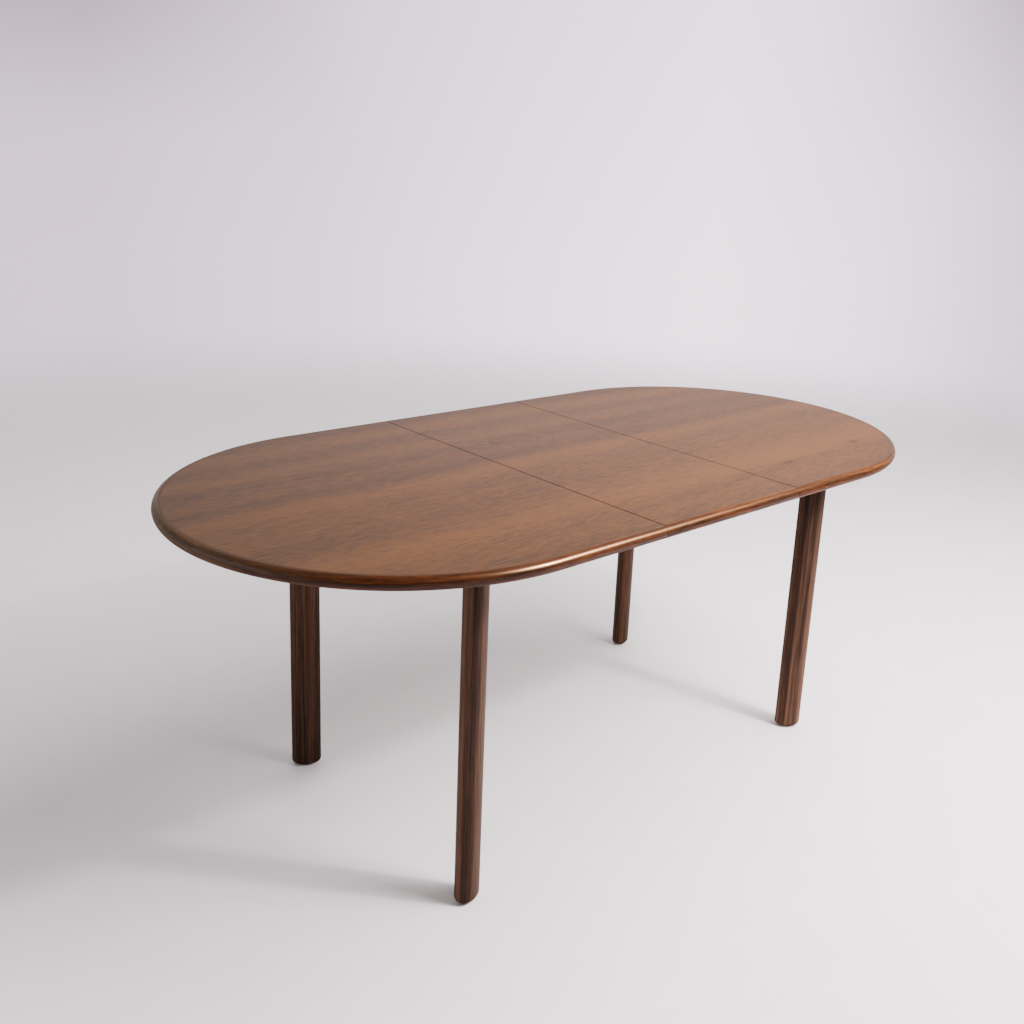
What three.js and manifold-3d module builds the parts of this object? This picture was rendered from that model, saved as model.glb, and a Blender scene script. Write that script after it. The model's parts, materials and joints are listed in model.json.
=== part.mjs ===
// Oval extending dining table in walnut, standing open with its centre leaf in place.
//
// Millimetres, +Z up. The origin is on the floor under the centre of the table. +X runs along the
// table from its near end to its far end, and +Y points to its left side. A fixed frame of four oval
// legs and four aprons carries two top halves, which slide apart on runners and are kept in step by
// two racks and a pinion. The leaf rests on the side aprons between them and lifts straight out.
// The two ends of the table are alike: each is built as the near end, and the far one is turned by
// half a turn about the middle.

import * as THREE from 'three';
import { mergeVertices } from 'three/addons/utils/BufferGeometryUtils.js';
import Module from 'manifold-3d';

const wasm = await Module();
wasm.setup();

// Top: two halves with half-round ends, and a leaf between them.
const TABLE_HEIGHT = 750;
const TOP_LENGTH = 1900;
const TOP_WIDTH = 950;
const TOP_THICKNESS = 27;
const LEAF_WIDTH = 420;
const LIPPING_FLAT = 2.5; // flat strip of the solid lipping, inside its half-round nose
const OVERTRAVEL = 30; // how far each half pulls out beyond the leaf, which frees the leaf

// Legs: straight oval posts, their long axes turned towards the middle of the table.
const LEG_X = 529;
const LEG_SIDE_INSET = 170; // from the long side of the top to the leg's axis
const LEG_LONG_AXIS = 66;
const LEG_SHORT_AXIS = 46;
const LEG_TURN = THREE.MathUtils.degToRad(30);
const FOOT_ROUNDING = 10;
const GLIDE_RADIUS = 11.5;
const GLIDE_THICKNESS = 2;
const GLIDE_STEM_RADIUS = 3;
const GLIDE_STEM_LENGTH = 18;

// Aprons and cross rails.
const APRON_THICKNESS = 22;
const APRON_DEPTH = 60;
const CROSS_RAIL_X = 95;
const CROSS_RAIL_WIDTH = 60;
const CROSS_RAIL_THICKNESS = 16;
const ARRIS = 2;

// Corner brackets with their hanger bolts and nuts.
const BRACKET_THICKNESS = 2.5;
const BRACKET_HEIGHT = 44;
const BRACKET_FLANGE = 35;
const BRACKET_STANDOFF = 12; // from the leg to the web of the bracket
const BOLT_RADIUS = 4;
const BOLT_GRIP = 30; // depth in the leg
const BOLT_TAIL = 6; // what stands out of the nut
const BOLT_POINT = 5;
const NUT_ACROSS_FLATS = 13;
const NUT_HEIGHT = 6.5;

// Slide rails, runners and stops.
const RAIL_HEIGHT = 32;
const RAIL_DEPTH = 14;
const RAIL_WALL = 2;
const RAIL_LIP = 8;
const RAIL_DROP = 5; // below the top edge of the apron
const RUNNER_LENGTH = 160;
const RUNNER_INSET = 12; // from the edge at the seam
const RUNNER_WEB = 4;
const RUNNER_FLANGE = 3;
const RUNNER_FLANGE_WIDTH = 24;
const STOP_LENGTH = 8;

// Rack and pinion, on a channel plate that spans the cross rails.
const GEAR_MODULE = 3;
const PINION_TEETH = 18;
const PRESSURE_ANGLE = THREE.MathUtils.degToRad(20);
const BACKLASH = 0.4;
const RACK_HEIGHT = 14;
const RACK_BACK = 8; // solid bar behind the roots of the teeth
const RACK_BLOCK_LENGTH = 180;
const GEAR_PLATE_THICKNESS = 3;
const AXLE_RADIUS = 5;
const AXLE_HEAD_RADIUS = 9;
const AXLE_HEAD_THICKNESS = 2.5;
const AXLE_GROOVE_DEPTH = 1;
const CLIP_THICKNESS = 1.2;
const CLIP_WIDTH = 4;
const CLIP_MOUTH = Math.PI / 5; // half the angle of its open side
const AXLE_END = 2; // above the clip

// Leaf battens.
const BATTEN_INSET = 40; // from the edge of the leaf
const BATTEN_WIDTH = 40;
const BATTEN_THICKNESS = 16;
const BATTEN_SCREWS = 4;
const COUNTERBORE_RADIUS = 4.5;
const COUNTERBORE_DEPTH = 7;

// Screw holes in the steel parts.
const SCREW_HOLE_RADIUS = 2.25;
const RUNNER_SCREWS = 3;
const RAIL_SCREWS = 5;
const RAIL_SCREW_INSET = 20; // from the end of the rail
const HOLE_FACETS = 8;

// Clearances.
const SEAM_GAP = 0.5; // between the leaf and each half
const GLUE_GAP = 0.1; // between glued faces
const SEAT_GAP = 0.3; // between pieces that bear on each other
const RUNNING_GAP = 0.5; // between pieces that slide

// Fineness of the round forms.
const END_FACETS = 48;
const NOSE_FACETS = 12;
const OVAL_FACETS = 36;
const FOOT_FACETS = 5;
const ROUND_FACETS = 24;
const ARRIS_FACETS = 2;

// Heights that follow from the sizes above.
const TOP_UNDERSIDE = TABLE_HEIGHT - TOP_THICKNESS;
const FRAME_TOP = TOP_UNDERSIDE - SEAT_GAP;
const APRON_BOTTOM = FRAME_TOP - APRON_DEPTH;
const BOLT_Z = FRAME_TOP - APRON_DEPTH / 2;
const RAIL_TOP = FRAME_TOP - RAIL_DROP;
const RAIL_MIDDLE = RAIL_TOP - RAIL_HEIGHT / 2;
const CROSS_RAIL_TOP = APRON_BOTTOM + CROSS_RAIL_THICKNESS;
const GEAR_PLATE_TOP = CROSS_RAIL_TOP + SEAT_GAP + GEAR_PLATE_THICKNESS;
const RACK_BOTTOM = GEAR_PLATE_TOP + RUNNING_GAP;
const RACK_TOP = RACK_BOTTOM + RACK_HEIGHT;

const CLIP_BOTTOM = RACK_TOP + SEAT_GAP;
const CLIP_TOP = CLIP_BOTTOM + CLIP_THICKNESS;

// Places along and across the table.
const LEG_Y = TOP_WIDTH / 2 - LEG_SIDE_INSET;
const SEAM_X = (LEAF_WIDTH + SEAM_GAP) / 2; // edge of each half
const LEAF_EDGE = (LEAF_WIDTH - SEAM_GAP) / 2;
const END_CENTRE = (TOP_LENGTH - TOP_WIDTH) / 2; // centre of the half-round end
const NOSE_RADIUS = TOP_THICKNESS / 2;
const LIPPING_WIDTH = NOSE_RADIUS + LIPPING_FLAT;
const PANEL_HALF_WIDTH = TOP_WIDTH / 2 - LIPPING_WIDTH;
const APRON_INNER_X = LEG_X - APRON_THICKNESS / 2;
const APRON_INNER_Y = LEG_Y - APRON_THICKNESS / 2;
const RAIL_BACK = APRON_INNER_Y - SEAT_GAP;
const RAIL_FRONT = RAIL_BACK - RAIL_DEPTH;
const RUNNER_START = SEAM_X + RUNNER_INSET;
const RUNNER_END = RUNNER_START + RUNNER_LENGTH;
const STOP_START = RUNNER_END + OVERTRAVEL + RUNNING_GAP;
const RAIL_END = STOP_START + STOP_LENGTH;
const PITCH_RADIUS = (GEAR_MODULE * PINION_TEETH) / 2;
const TOOTH_PITCH = Math.PI * GEAR_MODULE;
const ADDENDUM = GEAR_MODULE;
const DEDENDUM = 1.25 * GEAR_MODULE;
const RACK_BACK_Y = PITCH_RADIUS + DEDENDUM + RACK_BACK;
const RACK_OUTER_END = SEAM_X + RUNNER_INSET + RACK_BLOCK_LENGTH;
const BATTEN_X = LEAF_EDGE - BATTEN_INSET - BATTEN_WIDTH / 2;

// Distances from the leg's axis towards the middle of the table.
const WEB_OUTER = LEG_LONG_AXIS / 2 + BRACKET_STANDOFF;
const NUT_START = WEB_OUTER + BRACKET_THICKNESS + SEAT_GAP;

const WALNUT_TOP = new THREE.MeshStandardMaterial({ color: 0x95715e, roughness: 0.42, metalness: 0 });
const WALNUT_EDGE = new THREE.MeshStandardMaterial({ color: 0x7a4a34, roughness: 0.35, metalness: 0 });
const WALNUT_LEG = new THREE.MeshStandardMaterial({ color: 0x4c3024, roughness: 0.45, metalness: 0 });
const BEECH = new THREE.MeshStandardMaterial({ color: 0xb98f66, roughness: 0.6, metalness: 0 });
const STEEL = new THREE.MeshStandardMaterial({ color: 0x9a9c9f, roughness: 0.35, metalness: 1 });
const DARK_STEEL = new THREE.MeshStandardMaterial({ color: 0x2c2c2e, roughness: 0.5, metalness: 0.3 });
const NYLON = new THREE.MeshStandardMaterial({ color: 0x26231f, roughness: 0.6, metalness: 0 });

// ---- Geometry helpers ----

function solidOf(geometry) {
  const bare = geometry.clone();
  bare.deleteAttribute('normal');
  bare.deleteAttribute('uv');
  const merged = mergeVertices(bare, 1e-4);
  return new wasm.Manifold(new wasm.Mesh({
    numProp: 3,
    vertProperties: new Float32Array(merged.attributes.position.array),
    triVerts: new Uint32Array(merged.index.array),
  }));
}

function geometryOf(solid) {
  const mesh = solid.getMesh();
  const geometry = new THREE.BufferGeometry();
  geometry.setAttribute('position', new THREE.BufferAttribute(new Float32Array(mesh.vertProperties), 3));
  geometry.setIndex(new THREE.BufferAttribute(new Uint32Array(mesh.triVerts), 1));
  return geometry;
}

function cut(geometry, ...tools) {
  let solid = solidOf(geometry);
  for (const tool of tools) {
    solid = solid.subtract(solidOf(tool));
  }
  return geometryOf(solid);
}

// A closed body through copies of one counter-clockwise outline, each placed by its station matrix.
// The stations follow each other along the outline's own +Z.
function loft(outline, stations) {
  const count = outline.length;
  const positions = stations.flatMap((station) => outline.flatMap(
    (point) => new THREE.Vector3(point.x, point.y, 0).applyMatrix4(station).toArray(),
  ));
  const indices = [];
  const last = (stations.length - 1) * count;
  for (const face of THREE.ShapeUtils.triangulateShape(outline, [])) {
    const corners = THREE.ShapeUtils.area(face.map((index) => outline[index])) > 0 ? face : face.toReversed();
    indices.push(corners[2], corners[1], corners[0]);
    indices.push(last + corners[0], last + corners[1], last + corners[2]);
  }
  for (let start = 0; start < last; start += count) {
    for (let i = 0; i < count; i += 1) {
      const a = start + i;
      const b = start + ((i + 1) % count);
      indices.push(a, b, b + count, a, b + count, a + count);
    }
  }
  const geometry = new THREE.BufferGeometry();
  geometry.setAttribute('position', new THREE.Float32BufferAttribute(positions, 3));
  geometry.setIndex(indices);
  return geometry;
}

function extrude(shape, depth, curveSegments = ROUND_FACETS / 2) {
  return new THREE.ExtrudeGeometry(shape, { depth, curveSegments, bevelEnabled: false });
}

// Plan outline (x, y) extruded upwards.
function upright(shape, bottom, top, curveSegments) {
  return extrude(shape, top - bottom, curveSegments).translate(0, 0, bottom);
}

// Section (y, z) extruded along the table.
function alongX(shape, from, to) {
  const turn = new THREE.Matrix4().makeBasis(
    new THREE.Vector3(0, 1, 0),
    new THREE.Vector3(0, 0, 1),
    new THREE.Vector3(1, 0, 0),
  );
  return extrude(shape, to - from, ARRIS_FACETS).applyMatrix4(turn).translate(from, 0, 0);
}

// Section (z, x) extruded across the table.
function alongY(shape, from, to) {
  const turn = new THREE.Matrix4().makeBasis(
    new THREE.Vector3(0, 0, 1),
    new THREE.Vector3(1, 0, 0),
    new THREE.Vector3(0, 1, 0),
  );
  return extrude(shape, to - from, ARRIS_FACETS).applyMatrix4(turn).translate(0, from, 0);
}

function polygon(points) {
  return new THREE.Shape(points.map(([x, y]) => new THREE.Vector2(x, y)));
}

// A sawn section with eased arrises, between two corners.
function boardSection(x0, y0, x1, y1) {
  const shape = new THREE.Shape();
  shape.absarc(x1 - ARRIS, y0 + ARRIS, ARRIS, -Math.PI / 2, 0);
  shape.absarc(x1 - ARRIS, y1 - ARRIS, ARRIS, 0, Math.PI / 2);
  shape.absarc(x0 + ARRIS, y1 - ARRIS, ARRIS, Math.PI / 2, Math.PI);
  shape.absarc(x0 + ARRIS, y0 + ARRIS, ARRIS, Math.PI, 1.5 * Math.PI);
  return shape;
}

// A cylinder along +X.
function rod(radius, from, to, z) {
  return new THREE.CylinderGeometry(radius, radius, to - from, ROUND_FACETS)
    .rotateZ(Math.PI / 2)
    .translate((from + to) / 2, 0, z);
}

// Drills: cylinders of the given length along +Y, +X or +Z, with their middles at a point.
function drillY(radius, length, x, y, z) {
  return new THREE.CylinderGeometry(radius, radius, length, HOLE_FACETS).translate(x, y, z);
}

function drillX(radius, length, x, y, z) {
  return drillY(radius, length, 0, 0, 0).rotateZ(Math.PI / 2).translate(x, y, z);
}

function drillZ(radius, length, x, y, z) {
  return drillY(radius, length, 0, 0, 0).rotateX(Math.PI / 2).translate(x, y, z);
}

// Places evenly spread between two ends, which are included.
function spread(count, from, to) {
  return Array.from({ length: count }, (_, i) => from + ((to - from) * i) / (count - 1));
}

// A body turned round a vertical axis from a profile of [radius, height], which closes on the axis.
function revolve(profile) {
  return new THREE.LatheGeometry(profile.map(([r, z]) => new THREE.Vector2(r, z)), ROUND_FACETS)
    .rotateX(Math.PI / 2);
}

function ovalOutline(longAxis, shortAxis) {
  const curve = new THREE.EllipseCurve(0, 0, longAxis / 2, shortAxis / 2, 0, 2 * Math.PI);
  return curve.getPoints(OVAL_FACETS).slice(0, -1);
}

function named(name, geometry, material) {
  const mesh = new THREE.Mesh(geometry, material);
  mesh.name = name;
  return mesh;
}

// ---- Top ----

// Bullnose section: local x outwards from the panel, local y up from the underside.
function lippingSection() {
  const nose = Array.from({ length: NOSE_FACETS + 1 }, (_, i) => {
    const angle = -Math.PI / 2 + (Math.PI * i) / NOSE_FACETS;
    return new THREE.Vector2(
      LIPPING_FLAT + NOSE_RADIUS * Math.cos(angle),
      NOSE_RADIUS + NOSE_RADIUS * Math.sin(angle),
    );
  });
  return [new THREE.Vector2(GLUE_GAP, 0), ...nose, new THREE.Vector2(GLUE_GAP, TOP_THICKNESS)];
}

// The lipping's section stands on the edge of the panel at (x, y), facing the given way in plan.
function lippingStation(x, y, facing) {
  const outwards = new THREE.Vector3(Math.cos(facing), Math.sin(facing), 0);
  const up = new THREE.Vector3(0, 0, 1);
  return new THREE.Matrix4()
    .makeBasis(outwards, up, new THREE.Vector3().crossVectors(outwards, up))
    .setPosition(x, y, TOP_UNDERSIDE);
}

function endLipping() {
  const stations = [lippingStation(-SEAM_X, -PANEL_HALF_WIDTH, -Math.PI / 2)];
  for (let i = 0; i <= END_FACETS; i += 1) {
    const facing = -Math.PI / 2 - (Math.PI * i) / END_FACETS;
    stations.push(lippingStation(
      -END_CENTRE + PANEL_HALF_WIDTH * Math.cos(facing),
      PANEL_HALF_WIDTH * Math.sin(facing),
      facing,
    ));
  }
  stations.push(lippingStation(-SEAM_X, PANEL_HALF_WIDTH, Math.PI / 2));
  return loft(lippingSection(), stations);
}

function halfPanel() {
  const shape = new THREE.Shape();
  shape.absarc(-END_CENTRE, 0, PANEL_HALF_WIDTH, -Math.PI / 2, -1.5 * Math.PI, true);
  shape.lineTo(-SEAM_X, PANEL_HALF_WIDTH);
  shape.lineTo(-SEAM_X, -PANEL_HALF_WIDTH);
  return upright(shape, TOP_UNDERSIDE, TABLE_HEIGHT, END_FACETS / 2);
}

function leafPanel() {
  const shape = polygon([
    [-LEAF_EDGE, -PANEL_HALF_WIDTH],
    [LEAF_EDGE, -PANEL_HALF_WIDTH],
    [LEAF_EDGE, PANEL_HALF_WIDTH],
    [-LEAF_EDGE, PANEL_HALF_WIDTH],
  ]);
  return upright(shape, TOP_UNDERSIDE, TABLE_HEIGHT);
}

function leafLipping() {
  return loft(lippingSection(), [
    lippingStation(LEAF_EDGE, -PANEL_HALF_WIDTH, -Math.PI / 2),
    lippingStation(-LEAF_EDGE, -PANEL_HALF_WIDTH, -Math.PI / 2),
  ]);
}

// The battens keep the leaf flat and drop in between the slide rails, which holds it sideways.
function leafBatten(x) {
  const reach = RAIL_FRONT - RUNNING_GAP;
  const top = TOP_UNDERSIDE - GLUE_GAP;
  const bottom = top - BATTEN_THICKNESS;
  const section = boardSection(bottom, x - BATTEN_WIDTH / 2, top, x + BATTEN_WIDTH / 2);
  const outermost = reach - BATTEN_WIDTH;
  const counterbores = spread(BATTEN_SCREWS, -outermost, outermost).map(
    (y) => drillZ(COUNTERBORE_RADIUS, 2 * COUNTERBORE_DEPTH, x, y, bottom),
  );
  return cut(alongY(section, -reach, reach), ...counterbores);
}

// ---- Legs, in their own frame: local +X points to the middle of the table ----

function leg() {
  const stations = [];
  for (let i = 0; i <= FOOT_FACETS; i += 1) {
    const angle = (Math.PI / 2) * (i / FOOT_FACETS);
    const inset = FOOT_ROUNDING * (1 - Math.sin(angle));
    stations.push(new THREE.Matrix4()
      .makeScale(1 - (2 * inset) / LEG_LONG_AXIS, 1 - (2 * inset) / LEG_SHORT_AXIS, 1)
      .setPosition(0, 0, GLIDE_THICKNESS + SEAT_GAP + FOOT_ROUNDING * (1 - Math.cos(angle))));
  }
  stations.push(new THREE.Matrix4().makeTranslation(0, 0, FRAME_TOP));
  const boltHole = rod(BOLT_RADIUS + SEAT_GAP, LEG_LONG_AXIS / 2 - BOLT_GRIP, LEG_LONG_AXIS, BOLT_Z);
  const stemHole = new THREE.CylinderGeometry(
    GLIDE_STEM_RADIUS + SEAT_GAP,
    GLIDE_STEM_RADIUS + SEAT_GAP,
    2 * (GLIDE_STEM_LENGTH + GLIDE_THICKNESS),
    ROUND_FACETS,
  ).rotateX(Math.PI / 2).translate(0, 0, GLIDE_THICKNESS);
  return cut(loft(ovalOutline(LEG_LONG_AXIS, LEG_SHORT_AXIS), stations), boltHole, stemHole);
}

function footGlide() {
  const easing = GLIDE_THICKNESS / 4;
  return revolve([
    [0, 0],
    [GLIDE_RADIUS - easing, 0],
    [GLIDE_RADIUS, easing],
    [GLIDE_RADIUS, GLIDE_THICKNESS],
    [GLIDE_STEM_RADIUS, GLIDE_THICKNESS],
    [GLIDE_STEM_RADIUS, GLIDE_THICKNESS + GLIDE_STEM_LENGTH],
    [0, GLIDE_THICKNESS + GLIDE_STEM_LENGTH],
  ]);
}

function hangerBolt() {
  const inner = LEG_LONG_AXIS / 2 - BOLT_GRIP + SEAT_GAP;
  const outer = NUT_START + NUT_HEIGHT + BOLT_TAIL;
  const chamfer = BOLT_RADIUS / 4;
  return revolve([
    [0, inner],
    [BOLT_RADIUS, inner + BOLT_POINT],
    [BOLT_RADIUS, outer - chamfer],
    [BOLT_RADIUS - chamfer, outer],
    [0, outer],
  ]).rotateY(Math.PI / 2).translate(0, 0, BOLT_Z);
}

function boltNut() {
  const cornerRadius = NUT_ACROSS_FLATS / Math.sqrt(3);
  const hexagon = polygon(Array.from({ length: 6 }, (_, i) => [
    cornerRadius * Math.cos((Math.PI * i) / 3),
    cornerRadius * Math.sin((Math.PI * i) / 3),
  ]));
  hexagon.holes.push(new THREE.Path().absarc(0, 0, BOLT_RADIUS + SEAT_GAP, 0, 2 * Math.PI, true));
  return extrude(hexagon, NUT_HEIGHT).rotateY(Math.PI / 2).translate(NUT_START, 0, BOLT_Z);
}

// ---- Frame ----

// The leg at a near corner, grown by the seat gap, which the aprons' ends are scribed to.
function legPocket(side) {
  return loft(ovalOutline(LEG_LONG_AXIS + 2 * SEAT_GAP, LEG_SHORT_AXIS + 2 * SEAT_GAP), [
    new THREE.Matrix4().makeTranslation(0, 0, APRON_BOTTOM - APRON_DEPTH),
    new THREE.Matrix4().makeTranslation(0, 0, FRAME_TOP + APRON_DEPTH),
  ]).rotateZ(-side * LEG_TURN).translate(-LEG_X, side * LEG_Y, 0);
}

function sideApron() {
  const section = boardSection(APRON_INNER_Y, APRON_BOTTOM, APRON_INNER_Y + APRON_THICKNESS, FRAME_TOP);
  const farPocket = legPocket(-1).rotateZ(Math.PI);
  return cut(alongX(section, -LEG_X, LEG_X), legPocket(1), farPocket);
}

function endApron() {
  const section = boardSection(APRON_BOTTOM, -APRON_INNER_X - APRON_THICKNESS, FRAME_TOP, -APRON_INNER_X);
  return cut(alongY(section, -LEG_Y, LEG_Y), legPocket(1), legPocket(-1));
}

function crossRail() {
  const reach = APRON_INNER_Y - SEAT_GAP;
  const section = boardSection(
    APRON_BOTTOM,
    -CROSS_RAIL_X - CROSS_RAIL_WIDTH / 2,
    CROSS_RAIL_TOP,
    -CROSS_RAIL_X + CROSS_RAIL_WIDTH / 2,
  );
  return alongY(section, -reach, reach);
}

// Where the bracket's web meets its flanges, for a surface of the folded plate that lies at the given
// distance from the leg's axis along the web's normal, and at the given offset from both aprons.
function bracketFolds(distance, offset) {
  const fromLegAxis = APRON_THICKNESS / 2 + offset;
  return {
    x: -LEG_X + (distance - fromLegAxis * Math.sin(LEG_TURN)) / Math.cos(LEG_TURN),
    y: LEG_Y - (distance - fromLegAxis * Math.cos(LEG_TURN)) / Math.sin(LEG_TURN),
    sideFace: APRON_INNER_Y - offset,
    endFace: -APRON_INNER_X + offset,
  };
}

function cornerBracket(side) {
  const outer = bracketFolds(WEB_OUTER, SEAT_GAP);
  const inner = bracketFolds(WEB_OUTER + BRACKET_THICKNESS, SEAT_GAP + BRACKET_THICKNESS);
  const tipX = outer.x + BRACKET_FLANGE;
  const tipY = outer.y - BRACKET_FLANGE;
  const plan = polygon([
    [tipX, side * outer.sideFace],
    [outer.x, side * outer.sideFace],
    [outer.endFace, side * outer.y],
    [outer.endFace, side * tipY],
    [inner.endFace, side * tipY],
    [inner.endFace, side * inner.y],
    [inner.x, side * inner.sideFace],
    [tipX, side * inner.sideFace],
  ]);
  const boltHole = rod(BOLT_RADIUS + SEAT_GAP, LEG_LONG_AXIS / 2, 2 * NUT_START, BOLT_Z)
    .rotateZ(-side * LEG_TURN)
    .translate(-LEG_X, side * LEG_Y, 0);
  const reach = 4 * BRACKET_THICKNESS;
  const screwHoles = [BOLT_Z - BRACKET_HEIGHT / 4, BOLT_Z + BRACKET_HEIGHT / 4].flatMap((z) => [
    drillY(SCREW_HOLE_RADIUS, reach, tipX - BRACKET_FLANGE / 2, side * outer.sideFace, z),
    drillX(SCREW_HOLE_RADIUS, reach, outer.endFace, side * (tipY + BRACKET_FLANGE / 2), z),
  ]);
  const blank = upright(plan, BOLT_Z - BRACKET_HEIGHT / 2, BOLT_Z + BRACKET_HEIGHT / 2);
  return cut(blank, boltHole, ...screwHoles);
}

// ---- Slides ----

// Lipped steel channel, open towards the middle of the table.
function slideRail() {
  const top = RAIL_TOP;
  const bottom = RAIL_TOP - RAIL_HEIGHT;
  const lipBack = RAIL_FRONT + RAIL_WALL;
  const webFront = RAIL_BACK - RAIL_WALL;
  const section = polygon([
    [RAIL_BACK, top],
    [RAIL_FRONT, top],
    [RAIL_FRONT, top - RAIL_LIP],
    [lipBack, top - RAIL_LIP],
    [lipBack, top - RAIL_WALL],
    [webFront, top - RAIL_WALL],
    [webFront, bottom + RAIL_WALL],
    [lipBack, bottom + RAIL_WALL],
    [lipBack, bottom + RAIL_LIP],
    [RAIL_FRONT, bottom + RAIL_LIP],
    [RAIL_FRONT, bottom],
    [RAIL_BACK, bottom],
  ]);
  const outermost = RAIL_END - RAIL_SCREW_INSET;
  const screwHoles = spread(RAIL_SCREWS, -outermost, outermost).map(
    (x) => drillY(SCREW_HOLE_RADIUS, 4 * RAIL_WALL, x, RAIL_BACK, RAIL_MIDDLE),
  );
  return cut(alongX(section, -RAIL_END, RAIL_END), ...screwHoles);
}

// T-headed runner: the head rides in the rail, and the flange is screwed under the half.
function runner(side) {
  const headBack = RAIL_BACK - RAIL_WALL - RUNNING_GAP;
  const headFront = RAIL_FRONT + RAIL_WALL + RUNNING_GAP;
  const headHalf = RAIL_HEIGHT / 2 - RAIL_WALL - RUNNING_GAP;
  const neckHalf = RAIL_HEIGHT / 2 - RAIL_LIP - RUNNING_GAP;
  const webBack = RAIL_FRONT - RUNNING_GAP;
  const webFront = webBack - RUNNER_WEB;
  const flangeTop = TOP_UNDERSIDE - SEAT_GAP;
  const flangeTip = webBack - RUNNER_FLANGE_WIDTH;
  const section = polygon([
    [side * headBack, RAIL_MIDDLE + headHalf],
    [side * headFront, RAIL_MIDDLE + headHalf],
    [side * headFront, RAIL_MIDDLE + neckHalf],
    [side * webBack, RAIL_MIDDLE + neckHalf],
    [side * webBack, flangeTop],
    [side * flangeTip, flangeTop],
    [side * flangeTip, flangeTop - RUNNER_FLANGE],
    [side * webFront, flangeTop - RUNNER_FLANGE],
    [side * webFront, RAIL_MIDDLE - neckHalf],
    [side * headFront, RAIL_MIDDLE - neckHalf],
    [side * headFront, RAIL_MIDDLE - headHalf],
    [side * headBack, RAIL_MIDDLE - headHalf],
  ]);
  const screwY = (side * (webFront + flangeTip)) / 2;
  const screwInset = RUNNER_FLANGE_WIDTH;
  const screwHoles = spread(RUNNER_SCREWS, screwInset - RUNNER_END, -RUNNER_START - screwInset).map(
    (x) => drillZ(SCREW_HOLE_RADIUS, 4 * RUNNER_FLANGE, x, screwY, flangeTop),
  );
  return cut(alongX(section, -RUNNER_END, -RUNNER_START), ...screwHoles);
}

// Moulded block clipped into the end of the rail, which stops the runner at full travel.
function railStop(side) {
  const halfHeight = RAIL_HEIGHT / 2 - RAIL_WALL - SEAT_GAP;
  const nearFace = RAIL_FRONT + RAIL_WALL + SEAT_GAP;
  const backFace = RAIL_BACK - RAIL_WALL - SEAT_GAP;
  const [low, high] = side > 0 ? [nearFace, backFace] : [-backFace, -nearFace];
  const section = boardSection(low, RAIL_MIDDLE - halfHeight, high, RAIL_MIDDLE + halfHeight);
  return alongX(section, -RAIL_END, -STOP_START);
}

// ---- Rack and pinion ----

const involute = (angle) => Math.tan(angle) - angle;

function pinion() {
  const baseRadius = PITCH_RADIUS * Math.cos(PRESSURE_ANGLE);
  const tipRadius = PITCH_RADIUS + ADDENDUM;
  const rootRadius = PITCH_RADIUS - DEDENDUM;
  const flankSteps = 4;
  const halfToothAtPitch = Math.PI / (2 * PINION_TEETH) - BACKLASH / (4 * PITCH_RADIUS);
  const halfToothAt = (radius) => halfToothAtPitch + involute(PRESSURE_ANGLE)
    - involute(Math.acos(Math.min(1, baseRadius / radius)));
  const flank = [[rootRadius, halfToothAt(baseRadius)]];
  for (let i = 0; i <= flankSteps; i += 1) {
    const radius = baseRadius + ((tipRadius - baseRadius) * i) / flankSteps;
    flank.push([radius, halfToothAt(radius)]);
  }
  const outline = [];
  for (let tooth = 0; tooth < PINION_TEETH; tooth += 1) {
    const centre = Math.PI / 2 + (2 * Math.PI * tooth) / PINION_TEETH;
    const rising = flank.map(([radius, half]) => [radius, centre - half]);
    const falling = flank.map(([radius, half]) => [radius, centre + half]).reverse();
    for (const [radius, angle] of [...rising, ...falling]) {
      outline.push([radius * Math.cos(angle), radius * Math.sin(angle)]);
    }
  }
  const shape = polygon(outline);
  shape.holes.push(new THREE.Path().absarc(0, 0, AXLE_RADIUS + SEAT_GAP, 0, 2 * Math.PI, true));
  return upright(shape, RACK_BOTTOM, RACK_TOP);
}

// The near half's rack lies on the left of the pinion, its teeth facing it. They reach from the
// seam, which meets the pinion when the table is closed, to past the pinion at full travel.
function rack() {
  const teethOutwards = Math.ceil(LEAF_WIDTH / 2 / TOOTH_PITCH);
  const teethInwards = Math.ceil(OVERTRAVEL / TOOTH_PITCH) + 1;
  const halfTooth = TOOTH_PITCH / 4 - BACKLASH / 4;
  const slope = Math.tan(PRESSURE_ANGLE);
  const tipY = PITCH_RADIUS - ADDENDUM;
  const rootY = PITCH_RADIUS + DEDENDUM;
  const inner = teethInwards * TOOTH_PITCH;
  const points = [[-RACK_OUTER_END, RACK_BACK_Y], [-RACK_OUTER_END, tipY]];
  points.push([-teethOutwards * TOOTH_PITCH - halfTooth, tipY]);
  points.push([-teethOutwards * TOOTH_PITCH - halfTooth, rootY]);
  for (let tooth = -teethOutwards; tooth < teethInwards; tooth += 1) {
    const centre = (tooth + 0.5) * TOOTH_PITCH;
    points.push([centre - halfTooth - DEDENDUM * slope, rootY]);
    points.push([centre - halfTooth + ADDENDUM * slope, tipY]);
    points.push([centre + halfTooth - ADDENDUM * slope, tipY]);
    points.push([centre + halfTooth + DEDENDUM * slope, rootY]);
  }
  points.push([inner, rootY], [inner, RACK_BACK_Y]);
  return upright(polygon(points), RACK_BOTTOM, RACK_TOP);
}

// Hardwood block that carries the rack under the half.
function rackBlock() {
  const section = boardSection(
    PITCH_RADIUS - ADDENDUM,
    RACK_TOP + SEAT_GAP,
    RACK_BACK_Y,
    TOP_UNDERSIDE - GLUE_GAP,
  );
  return alongX(section, -RACK_OUTER_END, -SEAM_X - RUNNER_INSET);
}

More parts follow.
